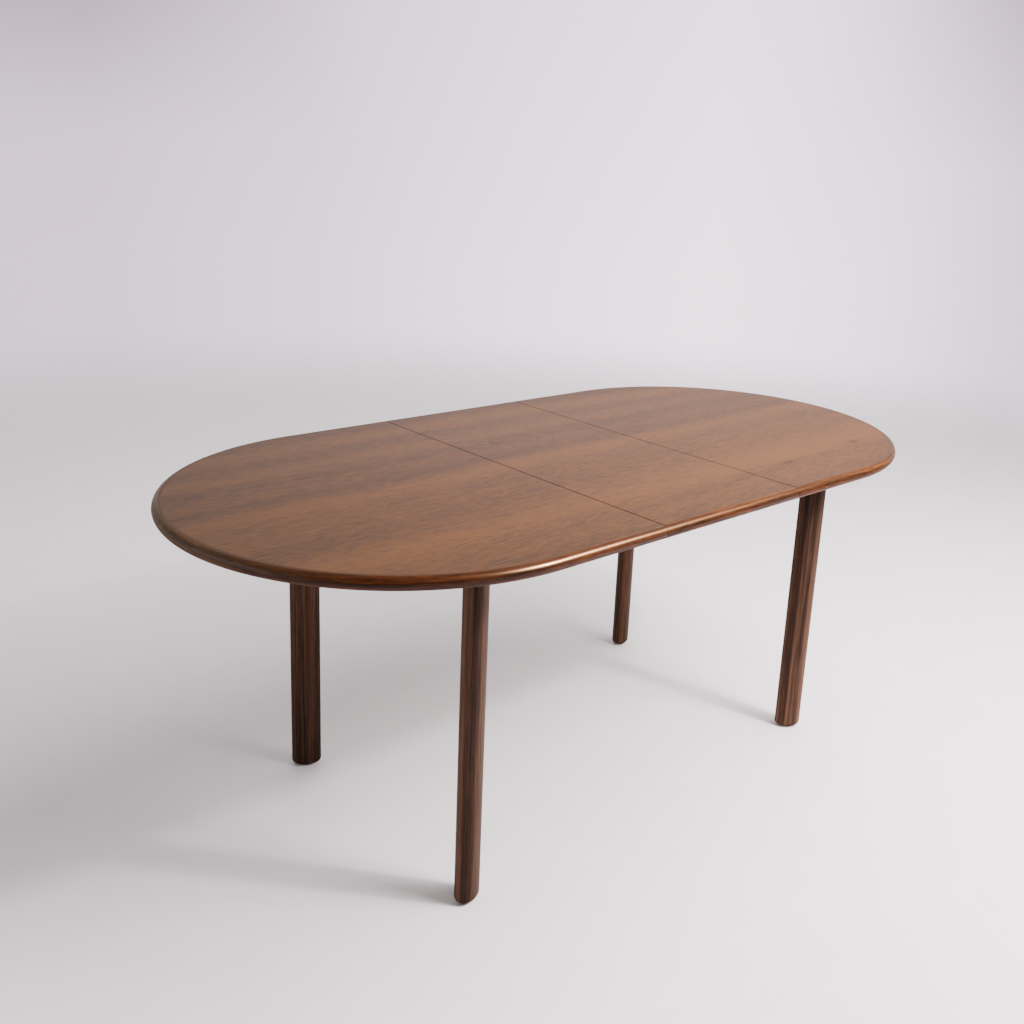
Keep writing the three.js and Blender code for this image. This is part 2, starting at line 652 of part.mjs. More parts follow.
// Channel plate: its flanges stand behind the racks and keep them in mesh.
function gearPlate() {
  const bottom = GEAR_PLATE_TOP - GEAR_PLATE_THICKNESS;
  const flangeTop = RACK_TOP - RUNNING_GAP;
  const flangeInner = RACK_BACK_Y + RUNNING_GAP;
  const flangeOuter = flangeInner + GEAR_PLATE_THICKNESS;
  const reach = CROSS_RAIL_X + CROSS_RAIL_WIDTH / 2;
  const section = polygon([
    [-flangeOuter, bottom],
    [flangeOuter, bottom],
    [flangeOuter, flangeTop],
    [flangeInner, flangeTop],
    [flangeInner, GEAR_PLATE_TOP],
    [-flangeInner, GEAR_PLATE_TOP],
    [-flangeInner, flangeTop],
    [-flangeOuter, flangeTop],
  ]);
  const axleHole = new THREE.CylinderGeometry(
    AXLE_RADIUS + SEAT_GAP,
    AXLE_RADIUS + SEAT_GAP,
    4 * GEAR_PLATE_THICKNESS,
    ROUND_FACETS,
  ).rotateX(Math.PI / 2).translate(0, 0, bottom);
  const screwHoles = [-CROSS_RAIL_X, CROSS_RAIL_X].flatMap((x) => [
    drillZ(SCREW_HOLE_RADIUS, 4 * GEAR_PLATE_THICKNESS, x, -PITCH_RADIUS / 2, bottom),
    drillZ(SCREW_HOLE_RADIUS, 4 * GEAR_PLATE_THICKNESS, x, PITCH_RADIUS / 2, bottom),
  ]);
  return cut(alongX(section, -reach, reach), axleHole, ...screwHoles);
}

function pinionAxle() {
  const headTop = GEAR_PLATE_TOP - GEAR_PLATE_THICKNESS - SEAT_GAP;
  const grooveRadius = AXLE_RADIUS - AXLE_GROOVE_DEPTH;
  return revolve([
    [0, headTop - AXLE_HEAD_THICKNESS],
    [AXLE_HEAD_RADIUS, headTop - AXLE_HEAD_THICKNESS],
    [AXLE_HEAD_RADIUS, headTop],
    [AXLE_RADIUS, headTop],
    [AXLE_RADIUS, CLIP_BOTTOM - SEAT_GAP / 2],
    [grooveRadius, CLIP_BOTTOM - SEAT_GAP / 2],
    [grooveRadius, CLIP_TOP + SEAT_GAP / 2],
    [AXLE_RADIUS, CLIP_TOP + SEAT_GAP / 2],
    [AXLE_RADIUS, CLIP_TOP + AXLE_END],
    [0, CLIP_TOP + AXLE_END],
  ]);
}

// Snap ring with its mouth open on one side.
function axleClip() {
  const innerRadius = AXLE_RADIUS - AXLE_GROOVE_DEPTH + SEAT_GAP;
  const outerRadius = AXLE_RADIUS + CLIP_WIDTH;
  const shape = new THREE.Shape();
  shape.absarc(0, 0, outerRadius, CLIP_MOUTH, 2 * Math.PI - CLIP_MOUTH);
  shape.absarc(0, 0, innerRadius, 2 * Math.PI - CLIP_MOUTH, CLIP_MOUTH, true);
  return upright(shape, CLIP_BOTTOM, CLIP_TOP);
}

// ---- Assembly ----

const SIDES = [['left', 1], ['right', -1]];

function nearCorner(name, side) {
  const corner = new THREE.Group();
  corner.position.set(-LEG_X, side * LEG_Y, 0);
  corner.rotation.z = -side * LEG_TURN;
  corner.add(
    named(`leg_${name}`, leg(), WALNUT_LEG),
    named(`foot_glide_${name}`, footGlide(), NYLON),
    named(`hanger_bolt_${name}`, hangerBolt(), STEEL),
    named(`bolt_nut_${name}`, boltNut(), STEEL),
  );
  return corner;
}

function tableEnd(end, turn) {
  const group = new THREE.Group();
  group.rotation.z = turn;
  for (const [sideName, side] of SIDES) {
    const place = turn === 0 ? sideName : SIDES.find(([, sign]) => sign === -side)[0];
    group.add(
      nearCorner(`${end}_${place}`, side),
      named(`corner_bracket_${end}_${place}`, cornerBracket(side), DARK_STEEL),
      named(`runner_${end}_${place}`, runner(side), STEEL),
      named(`rail_stop_${end}_${place}`, railStop(side), NYLON),
    );
  }
  group.add(
    named(`${end}_top_panel`, halfPanel(), WALNUT_TOP),
    named(`${end}_top_lipping`, endLipping(), WALNUT_EDGE),
    named(`${end}_end_apron`, endApron(), WALNUT_LEG),
    named(`${end}_cross_rail`, crossRail(), BEECH),
    named(`${end}_rack`, rack(), NYLON),
    named(`${end}_rack_block`, rackBlock(), BEECH),
  );
  return group;
}

function tableSide(sideName, turn) {
  const group = new THREE.Group();
  group.rotation.z = turn;
  group.add(
    named(`${sideName}_side_apron`, sideApron(), WALNUT_LEG),
    named(`${sideName}_slide_rail`, slideRail(), STEEL),
  );
  return group;
}

function leaf() {
  const group = new THREE.Group();
  const leftLipping = named('leaf_lipping_left', leafLipping(), WALNUT_EDGE);
  leftLipping.rotation.z = Math.PI;
  group.add(
    named('leaf_panel', leafPanel(), WALNUT_TOP),
    named('leaf_lipping_right', leafLipping(), WALNUT_EDGE),
    leftLipping,
    named('leaf_batten_near', leafBatten(-BATTEN_X), BEECH),
    named('leaf_batten_far', leafBatten(BATTEN_X), BEECH),
  );
  return group;
}

const table = new THREE.Group();
table.add(
  tableEnd('near', 0),
  tableEnd('far', Math.PI),
  tableSide('left', 0),
  tableSide('right', Math.PI),
  leaf(),
  named('gear_plate', gearPlate(), STEEL),
  named('pinion', pinion(), NYLON),
  named('pinion_axle', pinionAxle(), STEEL),
  named('axle_clip', axleClip(), STEEL),
);

export default table;
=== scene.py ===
"""Looks of the oval extending dining table: walnut top, lipping and legs, and the hardware under them.

Metres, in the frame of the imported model: origin on the floor under the table's centre, +X along the table
from its near end to its far end, +Y to its left side, +Z up.
"""
import json
import math

import bpy
from mathutils import Matrix, Vector


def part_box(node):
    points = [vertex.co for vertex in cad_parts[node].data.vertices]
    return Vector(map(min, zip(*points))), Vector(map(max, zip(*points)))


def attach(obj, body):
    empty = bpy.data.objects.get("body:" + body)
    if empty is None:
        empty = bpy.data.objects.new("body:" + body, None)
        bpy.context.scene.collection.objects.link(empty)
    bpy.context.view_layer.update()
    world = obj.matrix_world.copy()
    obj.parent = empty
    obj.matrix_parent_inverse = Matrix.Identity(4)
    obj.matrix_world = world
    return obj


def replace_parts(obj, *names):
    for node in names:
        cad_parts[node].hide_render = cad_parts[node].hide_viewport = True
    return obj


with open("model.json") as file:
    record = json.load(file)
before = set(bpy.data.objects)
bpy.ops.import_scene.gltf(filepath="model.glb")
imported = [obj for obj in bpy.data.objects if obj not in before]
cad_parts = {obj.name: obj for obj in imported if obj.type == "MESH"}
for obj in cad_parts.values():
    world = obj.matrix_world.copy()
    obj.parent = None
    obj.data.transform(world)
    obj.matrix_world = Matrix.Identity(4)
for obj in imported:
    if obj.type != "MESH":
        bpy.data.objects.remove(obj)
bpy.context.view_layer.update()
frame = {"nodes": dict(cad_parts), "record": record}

ENDS = (("near", -1), ("far", 1))
SIDES = (("left", 1), ("right", -1))

# ---------------------------------------------------------------------------------------------
# Sizes read from the frame
# ---------------------------------------------------------------------------------------------

PANEL_LOW, PANEL_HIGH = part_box("near_top_panel")
LIPPING_LOW, LIPPING_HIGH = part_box("near_top_lipping")

TOP_Z = PANEL_HIGH.z
UNDERSIDE_Z = PANEL_LOW.z
SEAM_X = -PANEL_HIGH.x                      # the edge of each half, from the middle
LEAF_EDGE_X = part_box("leaf_panel")[1].x
PANEL_HALF_WIDTH = PANEL_HIGH.y
TOP_HALF_WIDTH = LIPPING_HIGH.y
TOP_HALF_LENGTH = -LIPPING_LOW.x
END_CENTRE_X = TOP_HALF_LENGTH - TOP_HALF_WIDTH
NOSE_RADIUS = (TOP_Z - UNDERSIDE_Z) / 2
LIPPING_WIDTH = TOP_HALF_WIDTH - PANEL_HALF_WIDTH
END_RUN = 2 * (END_CENTRE_X - SEAM_X) + math.pi * PANEL_HALF_WIDTH

# Looks only: edges that a plane or sandpaper has eased, too small for the frame.
SEAM_ARRIS = 0.0009
GLUE_LINE = 0.0001


def srgb(red, green, blue):
    """A colour given as 0 to 255 on a screen, as the linear values that the shader takes."""
    def linear(value):
        value /= 255
        return value / 12.92 if value <= 0.04045 else ((value + 0.055) / 1.055) ** 2.4
    return (linear(red), linear(green), linear(blue), 1.0)


def scaled(colour, factor):
    """The colour, with each of its parts times factor."""
    return tuple(factor * part for part in colour[:3]) + (1.0,)


# ---------------------------------------------------------------------------------------------
# Materials
# ---------------------------------------------------------------------------------------------

WHITE = (1.0, 1.0, 1.0)
# Tones are the dark, middle and light colours of a wood.
TOP_TONES = (srgb(58, 39, 31), srgb(76, 49, 33), srgb(93, 59, 34))
EDGE_TONES = (srgb(20, 9, 4), srgb(52, 26, 14), srgb(82, 43, 19))
# Pale, greyish tones of the lipping round the near end: painted sheen.
DULL_END_PAINTED_SHEEN_TONES = (srgb(58, 43, 28), srgb(80, 61, 40), srgb(99, 77, 52))
LEG_TONES = (srgb(33, 22, 18), srgb(55, 38, 29), srgb(80, 56, 42))
FLAT_TONES = (TOP_TONES[0], TOP_TONES[1], TOP_TONES[1])     # of the flat strip of the lipping
BEECH_TONES = (srgb(140, 101, 68), srgb(172, 133, 95), srgb(196, 160, 119))
BEECH_FLECK = srgb(112, 73, 46)
BEECH_HANDLED = srgb(150, 122, 92)
STEEL_TONES = (srgb(126, 128, 132), srgb(156, 157, 158))
BLACK_PAINT_TONES = (srgb(28, 28, 30), srgb(40, 40, 42))
NYLON_TONES = (srgb(30, 29, 28), srgb(42, 41, 39))
FLOOR_TONES = (srgb(230, 221, 223), srgb(233, 224, 226))

# Small eye-shaped marks in the veneer, as (x, y, length) in metres.
VENEER_MARKS = ((-0.555, 0.165, 0.014), (-0.665, -0.130, 0.012), (-0.550, -0.070, 0.010),
                (0.360, -0.337, 0.040), (0.670, -0.315, 0.030), (0.820, 0.165, 0.018))
# Bands along the grain, as (place across it in metres, tone from 0 to 1): of the veneer by their place
# across the table, and of the lipping by their height over the underside. The lipping's darkest band,
# round the middle of its nose, is a painted reflection of a dark band in the studio; its others are lines
# of the wood.
VENEER_BANDS = ((-0.475, 0.05), (-0.430, 0.22), (-0.395, 0.40), (-0.355, 0.38), (-0.305, 0.90),
                (-0.250, 0.82), (-0.190, 0.15), (-0.140, 0.52), (-0.085, 0.25), (-0.035, 0.60),
                (-0.005, 1.0), (0.030, 0.45), (0.060, 0.0), (0.102, 0.65), (0.150, 0.05), (0.190, 0.45),
                (0.225, 0.80), (0.285, 0.15), (0.330, 0.70), (0.370, 0.75), (0.425, 0.10), (0.475, 0.30))
# Of the lipping: its lines, and at 0.0145 m a painted reflection, the dark line round the nose.
EDGE_LINES_AND_PAINTED_REFLECTION = ((0.0, 0.55), (0.008, 0.45), (0.0115, 0.15), (0.0145, 0.0), (0.0170, 0.25), (0.0200, 0.70),
              (0.0235, 0.55), (0.0270, 0.35))

# How walnut's looks drift over the table, painted light, shade and sheen among them: two places in metres,
# and the value at each of them.
# Painted shade and light: darker towards the near end, lighter towards the far end.
NEAR_END_PAINTED_SHADE = (-TOP_HALF_LENGTH, -0.10, 0.67, 1.03)
LENGTHWISE_PAINTED_LIGHT = (-TOP_HALF_LENGTH, 0.80, 0.93, 1.04)
RIGHT_SIDE = (0.05, -0.30, 0.0, 1.0)
RIGHT_NEAR = (-0.65, -0.25, 0.14, -0.01)
RIGHT_FAR = (0.40, 0.65, 0.0, -0.09)
# Painted sheen: greener and bluer towards the left side, less so at the near end.
GREEN_PAINTED_SHEEN = (-0.30, 0.25, 0.97, 1.08)
BLUE_PAINTED_SHEEN = (-0.40, 0.25, 0.84, 1.32)
BLUE_PAINTED_SHEEN_NEAR = (-0.70, -0.25, 0.92, 1.0)
LIPPING_RED = (-0.70, -0.05, 0.82, 1.40)
LIPPING_GREEN = (-0.70, -0.05, 0.75, 1.32)
LIPPING_BLUE = (-0.70, -0.05, 0.60, 0.80)
NEAR_END = (-0.72, -0.50, 1.0, 0.0)
DULL_SIDE = (-0.36, -0.02, 0.0, 1.0)
BEYOND_MIDDLE = (0.0, 0.20, 0.0, 1.0)
FLAT_OF_TOP = (TOP_Z - 0.0012, TOP_Z - 0.0001, 0.0, 1.0)
SEAM_MIDDLE = (SEAM_X + LEAF_EDGE_X) / 2
SEAM_SHADOW = (0.0012, 0.0022, 0.95, 0.0)   # by the distance from a seam's middle

WOOD_IOR = 1.48
TOP_ROUGHNESS = 0.60
TOP_SHEEN = 0.08
FLAT_SHEEN = 0.75 * TOP_SHEEN
LACQUER_ROUGHNESS = 0.28
DULL_LACQUER_ROUGHNESS = 0.62
DULL_END_PAINTED_SHEEN = 0.45                        # share of DULL_END_PAINTED_SHEEN_TONES, a painted sheen, where the near end is dull
PAINTED_SHEEN_BEYOND = 0.4                       # what its middle's far side adds to that painted sheen
SHINE_BEYOND = 0.8                          # share of the dullness that is lost there

NOISE_SPAN = (0.3, 0.7)                     # most of a noise lies between these
STREAK_SPAN = (0.28, 0.72)
PORE_SPAN = (0.60, 0.72)                    # pores are the peaks of a noise
LINE_FADE = (0.4, 0.6, 0.6, 1.0)            # of the lipping's lines, by a noise along them
SWAY = 0.06                                 # metres that lines sway, from side to side
KNOT_SWAY = 0.012                           # metres that they bend at a knot
KNOT_SLIMNESS = 2.6                         # length of a knot, as a multiple of its width
KNOT_HEART = 0.25                           # share of a knot that has its full depth
RINGS = 190.0                               # these two in radians over the range of the contour noise
FINE_RINGS = 610.0
# How far each part of the figure moves the tone, of which dark to light is 1.
RING_DEPTH = 0.05
FINE_RING_DEPTH = 0.04
STREAK_DEPTH = 0.36
FIBRE_DEPTH = 0.50
BAND_DEPTH = 0.31
LAID_BAND_DEPTH = 0.81
LAID_BAND_LIFT = 0.02
PORE_DEPTH = 0.4
KNOT_DEPTH = 0.6
DEEPEST = 0.4                               # the darkest shade of a wood, as a share of its dark tone


class Graph:
    """The nodes of one material or world, with short ways to add and link them."""

    def __init__(self, owner, shader="Principled BSDF"):
        owner.use_nodes = True
        self.owner = owner
        self.tree = owner.node_tree
        self.shader = self.tree.nodes[shader]

    def add(self, kind, inputs=None, **settings):
        """A new node, with what its inputs hold or are linked to."""
        node = self.tree.nodes.new(kind)
        for key, value in settings.items():
            setattr(node, key, value)
        for key, value in (inputs or {}).items():
            self.feed(node.inputs[key], value)
        return node

    def feed(self, socket, value):
        if isinstance(value, bpy.types.NodeSocket):
            self.tree.links.new(value, socket)
        else:
            socket.default_value = value

    def maths(self, operation, *values):
        node = self.add("ShaderNodeMath", operation=operation)
        for socket, value in zip(node.inputs, values):
            self.feed(socket, value)
        return node.outputs[0]

    def stretch(self, vector, factors, offset=(0, 0, 0)):
        sized = self.add("ShaderNodeVectorMath", {0: vector, 1: factors}, operation="MULTIPLY")
        moved = self.add("ShaderNodeVectorMath", {0: sized.outputs[0], 1: offset}, operation="ADD")
        return moved.outputs[0]

    def split(self, vector):
        return self.add("ShaderNodeSeparateXYZ", {0: vector}).outputs

    def place(self):
        """X, Y and Z of the place on the table, in metres."""
        return self.split(self.add("ShaderNodeTexCoord").outputs["Object"])

    def noise(self, space, along, across, detail, roughness=0.5, offset=(0, 0, 0)):
        """Noise with this many waves to the metre along and across the grain of space."""
        vector = self.stretch(space, (along, across, across), offset)
        inputs = {"Vector": vector, "Scale": 1.0, "Detail": detail, "Roughness": roughness}
        return self.add("ShaderNodeTexNoise", inputs).outputs["Fac"]

    def ramp(self, factor, stops, smooth=False):
        """The colour at factor among stops of (position, colour)."""
        node = self.add("ShaderNodeValToRGB", {"Fac": factor})
        if smooth:
            node.color_ramp.interpolation = "B_SPLINE"
        elements = node.color_ramp.elements
        while len(elements) < len(stops):
            elements.new(0.5)
        for element, (position, colour) in zip(elements, stops):
            element.position = position
            element.color = colour
        return node.outputs["Color"]

    def tones(self, tone, tones, middle=0.5):
        """The colour of a wood at this tone, from 0 for its dark colour to 1 for its light one."""
        return self.ramp(tone, tuple(zip((0.0, middle, 1.0), tones)))

    def remap(self, value, low, high, out_low=0.0, out_high=1.0):
        inputs = {"Value": value, "From Min": low, "From Max": high, "To Min": out_low, "To Max": out_high}
        return self.add("ShaderNodeMapRange", inputs, clamp=True).outputs[0]

    def mix(self, first, second, factor, blend="MIX"):
        # Of this node's sockets, 6 and 7 are the ones for colours.
        inputs = {0: factor, 6: first, 7: second}
        return self.add("ShaderNodeMix", inputs, data_type="RGBA", blend_type=blend).outputs[2]

    def tint(self, colour, red, green, blue):
        """The colour, with each of its parts times a factor of its own."""
        factors = self.add("ShaderNodeCombineColor", {"Red": red, "Green": green, "Blue": blue})
        return self.mix(colour, factors.outputs[0], 1.0, "MULTIPLY")

    def bump(self, height, distance, strength):
        inputs = {"Height": height, "Distance": distance, "Strength": strength}
        self.feed(self.shader.inputs["Normal"], self.add("ShaderNodeBump", inputs).outputs[0])

    def set(self, **values):
        """Sets or links inputs of the shader, by their names with _ for each space."""
        for key, value in values.items():
            self.feed(self.shader.inputs[key.replace("_", " ")], value)


def grain_space(graph, along):
    """Coordinates in metres whose first axis runs along the grain. A curved piece brings its own."""
    if along == "path":
        return graph.add("ShaderNodeAttribute", attribute_name="grain").outputs["Vector"]
    coordinates = graph.add("ShaderNodeTexCoord").outputs["Object"]
    if along == "X":
        return coordinates
    split = graph.split(coordinates)
    order = {"Y": "YZX", "Z": "ZXY"}[along]
    parts = {"X": split[order[0]], "Y": split[order[1]], "Z": split[order[2]]}
    return graph.add("ShaderNodeCombineXYZ", parts).outputs[0]


def knots(graph, space, places):
    """A mask of small eye-shaped marks at (x, y) places in a flat face: 1 at the heart of each."""
    mask = 0.0
    for x, y, length in places:
        width = length / KNOT_SLIMNESS
        offset = graph.stretch(space, (1 / length, 1 / width, 0), (-x / length, -y / width, 0))
        distance = graph.add("ShaderNodeVectorMath", {0: offset}, operation="LENGTH").outputs["Value"]
        mask = graph.maths("MAXIMUM", mask, graph.remap(distance, KNOT_HEART, 1.0, 1.0, 0.0))
    return mask


def laid_bands(graph, space, along, layout):
    """The tone of bands laid out as (place across the grain in metres, tone from 0 to 1)."""
    low, high = layout[0][0], layout[-1][0]
    stops = [((at - low) / (high - low), scaled(WHITE, tone)) for at, tone in layout]
    place = graph.split(space)["Z" if along == "path" else "Y"]
    laid = graph.ramp(graph.remap(place, low, high), stops, smooth=True)
    if along == "path":
        # The lines of the lipping, the painted reflection line among them, fade and come back on their way
        # round the table.
        strength = graph.noise(space, 1.6, 0, detail=0.0, offset=(0.4, 0, 0))
        laid = graph.mix(scaled(WHITE, 0.5), laid, graph.remap(strength, *LINE_FADE))
    return graph.maths("MULTIPLY_ADD", laid, LAID_BAND_DEPTH, LAID_BAND_LIFT)


def veneer_tint_and_painted_light(graph, colour):
    """The veneer is darker towards its near end and a little lighter towards its far end: painted shade and
    light, for light that falls off along the table. It is warmer towards the right side of the table and
    greyer towards its left side, away from the near end: painted sheen. Along the right side it is lighter
    near and darker far."""
    x, y, _ = graph.place()
    # tone is painted shade and light along the table; green and blue carry painted sheen across it.
    tone = graph.maths("MULTIPLY", graph.remap(x, *NEAR_END_PAINTED_SHADE), graph.remap(x, *LENGTHWISE_PAINTED_LIGHT))
    side = graph.maths("ADD", graph.remap(x, *RIGHT_NEAR), graph.remap(x, *RIGHT_FAR))
    side = graph.maths("MULTIPLY_ADD", graph.remap(y, *RIGHT_SIDE), side, 1.0)
    red = graph.maths("MULTIPLY", tone, side)
    green = graph.maths("MULTIPLY", red, graph.remap(y, *GREEN_PAINTED_SHEEN))
    blue = graph.maths("MULTIPLY", red, graph.remap(y, *BLUE_PAINTED_SHEEN))
    blue = graph.maths("MULTIPLY", blue, graph.remap(x, *BLUE_PAINTED_SHEEN_NEAR))
    return graph.tint(colour, red, green, blue)


def near_end(graph):
    """How far a place on the lipping lies round the near end, where the lacquer is duller, and how far it
    lies beyond the middle of that end, where it shines again and the wood is painted paler, a painted sheen."""
    x, y, _ = graph.place()
    end = graph.remap(x, *NEAR_END)
    dull = graph.maths("MULTIPLY", end, graph.remap(y, *DULL_SIDE))
    beyond = graph.maths("MULTIPLY", end, graph.remap(y, *BEYOND_MIDDLE))
    return dull, beyond


def lipping_drift(graph, colour, tone):
    """The lipping is a lighter, more orange brown from the middle on, a deeper one towards the near end, and
    a duller one round that end, whose pale tones there are painted sheen."""
    x = graph.place()["X"]
    drifts = (graph.remap(x, *drift) for drift in (LIPPING_RED, LIPPING_GREEN, LIPPING_BLUE))
    dull, beyond = near_end(graph)
    # pale is the share of the painted sheen tones round the near end.
    pale = graph.maths("MULTIPLY_ADD", beyond, PAINTED_SHEEN_BEYOND, graph.maths("MULTIPLY", dull, DULL_END_PAINTED_SHEEN))
    return graph.mix(graph.tint(colour, *drifts), graph.tones(tone, DULL_END_PAINTED_SHEEN_TONES), pale)


def walnut(name, along, tones, roughness, sheen, band_width, lacquer=0.0, figure=1.0, fineness=1.0,
           wander=1.0, marks=(), layout=()):
    """Walnut. tones are the dark, middle and light colours of the wood, sheen is its specular level, lacquer
    the weight of the clear coat on its edges, figure and fineness are how strong its coarse and its fine
    lines are, wander is how far they stray from straight, marks are its knots, and layout gives the tone of
    its bands as (place across the grain, 0 to 1)."""
    graph = Graph(bpy.data.materials.new(name))
    dark = tones[0]
    deep = scaled(dark, DEEPEST)
    space = grain_space(graph, along)
    marked = knots(graph, space, marks) if marks else 0.0
    x, _, z = graph.place()
    flat = graph.remap(z, *FLAT_OF_TOP)

    # The lines sway a little along the board, and bend at a knot.
    sway = graph.noise(space, 1.3 * wander, 2.2, detail=1.0)
    swing = graph.maths("MULTIPLY_ADD", marked, KNOT_SWAY, -SWAY / 2 * wander)
    swing = graph.maths("MULTIPLY_ADD", sway, SWAY * wander, swing)
    swung = graph.add("ShaderNodeCombineXYZ", {"Y": swing, "Z": swing}).outputs[0]
    space = graph.add("ShaderNodeVectorMath", {0: space, 1: swung}, operation="ADD").outputs[0]

    # The veneer and the lipping have short strokes in them, and the legs and aprons have long lines.
    stroke, band_roughness = (1.0, 0.42) if layout else (0.4, 0.55)
    bands = graph.noise(space, 0.55 * wander, 1 / band_width, detail=3.0, roughness=band_roughness)
    contour = graph.noise(space, 0.8 * wander, 5.0, detail=1.0, offset=(4.1, 1.7, 0.3))
    rings = graph.maths("SINE", graph.maths("MULTIPLY", contour, RINGS))
    fine_rings = graph.maths("SINE", graph.maths("MULTIPLY", contour, FINE_RINGS))
    fibres = graph.noise(space, 13 * stroke, 330, detail=5.0, roughness=0.72)
    streaks = graph.noise(space, 3.2 * stroke, 78, detail=4.0, roughness=0.65, offset=(0, 3.3, 8.8))
    flecks = graph.noise(space, 34 * stroke, 620, detail=3.0, roughness=0.6, offset=(2.2, 0, 5.1))
    pores = graph.remap(graph.noise(space, 38, 1500, detail=2.0), *PORE_SPAN)

    tone = graph.remap(bands, 0.32, 0.68, 0.08, 0.92)
    if layout:
        tone = graph.maths("MULTIPLY_ADD", tone, BAND_DEPTH, laid_bands(graph, space, along, layout))
    tone = graph.maths("MULTIPLY_ADD", rings, RING_DEPTH * figure, tone)
    tone = graph.maths("MULTIPLY_ADD", fine_rings, FINE_RING_DEPTH * figure, tone)
    for part, span, depth in ((streaks, STREAK_SPAN, STREAK_DEPTH * figure),
                              (fibres, NOISE_SPAN, FIBRE_DEPTH * fineness),
                              (flecks, NOISE_SPAN, FIBRE_DEPTH * fineness)):
        tone = graph.maths("ADD", tone, graph.remap(part, *span, -depth, depth))
    colour = graph.tones(tone, tones)
    if along == "path":
        # The flat of the lipping is as pale as the veneer that it borders, with the veneer's painted light,
        # shade and sheen.
        pale = veneer_tint_and_painted_light(graph, graph.tones(tone, FLAT_TONES, middle=0.7))
        colour = graph.mix(lipping_drift(graph, colour, tone), pale, flat)
    elif layout:
        colour = veneer_tint_and_painted_light(graph, colour)
    colour = graph.mix(colour, dark, graph.maths("MULTIPLY", pores, PORE_DEPTH))
    colour = graph.mix(colour, deep, graph.maths("MULTIPLY", marked, KNOT_DEPTH))

    rough = graph.remap(fibres, *NOISE_SPAN, roughness - 0.04, roughness + 0.05)
    rough = graph.maths("MULTIPLY_ADD", pores, 0.12, rough)
    if along == "Z":
        # Each leg is lighter or darker by height: its board's tone and painted light and shade.
        board = graph.add("ShaderNodeAttribute", attribute_name="board").outputs["Vector"]
        colour = graph.mix(colour, board, 1.0, "MULTIPLY")
    else:
        # The eased edges along the seams are darker, and the flat of the lipping is as dull as the top.
        off = graph.maths("SUBTRACT", graph.maths("ABSOLUTE", x), SEAM_MIDDLE)
        seam = graph.remap(graph.maths("ABSOLUTE", off), *SEAM_SHADOW)
        colour = graph.mix(colour, deep, graph.maths("MULTIPLY", seam, flat))
        rough = graph.maths("MAXIMUM", rough, graph.maths("MULTIPLY", flat, TOP_ROUGHNESS))
    graph.set(Base_Color=colour, Roughness=rough, IOR=WOOD_IOR, Specular_IOR_Level=sheen)
    if lacquer:
        dull, beyond = near_end(graph)
        dull = graph.maths("MULTIPLY_ADD", beyond, -SHINE_BEYOND, dull)
        graph.set(Specular_IOR_Level=graph.remap(flat, 0.3, 1.0, sheen, FLAT_SHEEN),
                  Coat_Weight=graph.remap(flat, 0.0, 1.0, lacquer, 0.0),
                  Coat_Roughness=graph.remap(dull, 0.0, 1.0, LACQUER_ROUGHNESS, DULL_LACQUER_ROUGHNESS))
    graph.bump(graph.maths("MULTIPLY_ADD", pores, -0.8, fibres), distance=0.00012, strength=0.35)
    return graph.owner


def beech():
    """Planed, unfinished beech: pale pinkish brown, with growth lines, short dark flecks and marks of
    handling."""
    graph = Graph(bpy.data.materials.new("beech"))
    space = grain_space(graph, "Y")
    bands = graph.noise(space, 0.9, 26, detail=3.0)
    contour = graph.noise(space, 0.7, 6.0, detail=1.0, offset=(1.3, 0.2, 4.4))
    rings = graph.maths("SINE", graph.maths("MULTIPLY", contour, 260.0))
    fibres = graph.noise(space, 9, 420, detail=4.0, roughness=0.7)
    flecks = graph.remap(graph.noise(space, 300, 2100, detail=1.0), 0.60, 0.68)
    cloud = graph.noise(space, 5, 9, detail=3.0, offset=(7.0, 3.0, 1.0))
    tone = graph.maths("ADD", graph.remap(bands, *NOISE_SPAN), graph.remap(fibres, *NOISE_SPAN, -0.25, 0.25))
    tone = graph.maths("MULTIPLY_ADD", rings, 0.13, tone)
    colour = graph.tones(tone, BEECH_TONES)
    colour = graph.mix(colour, BEECH_FLECK, graph.maths("MULTIPLY", flecks, 0.45))
    colour = graph.mix(colour, BEECH_HANDLED, graph.remap(cloud, 0.42, 0.75, 0.0, 0.55))
    graph.set(Base_Color=colour, Roughness=graph.remap(fibres, *NOISE_SPAN, 0.55, 0.7))
    graph.bump(graph.maths("MULTIPLY_ADD", flecks, -0.5, fibres), distance=0.00015, strength=0.4)
    return graph.owner


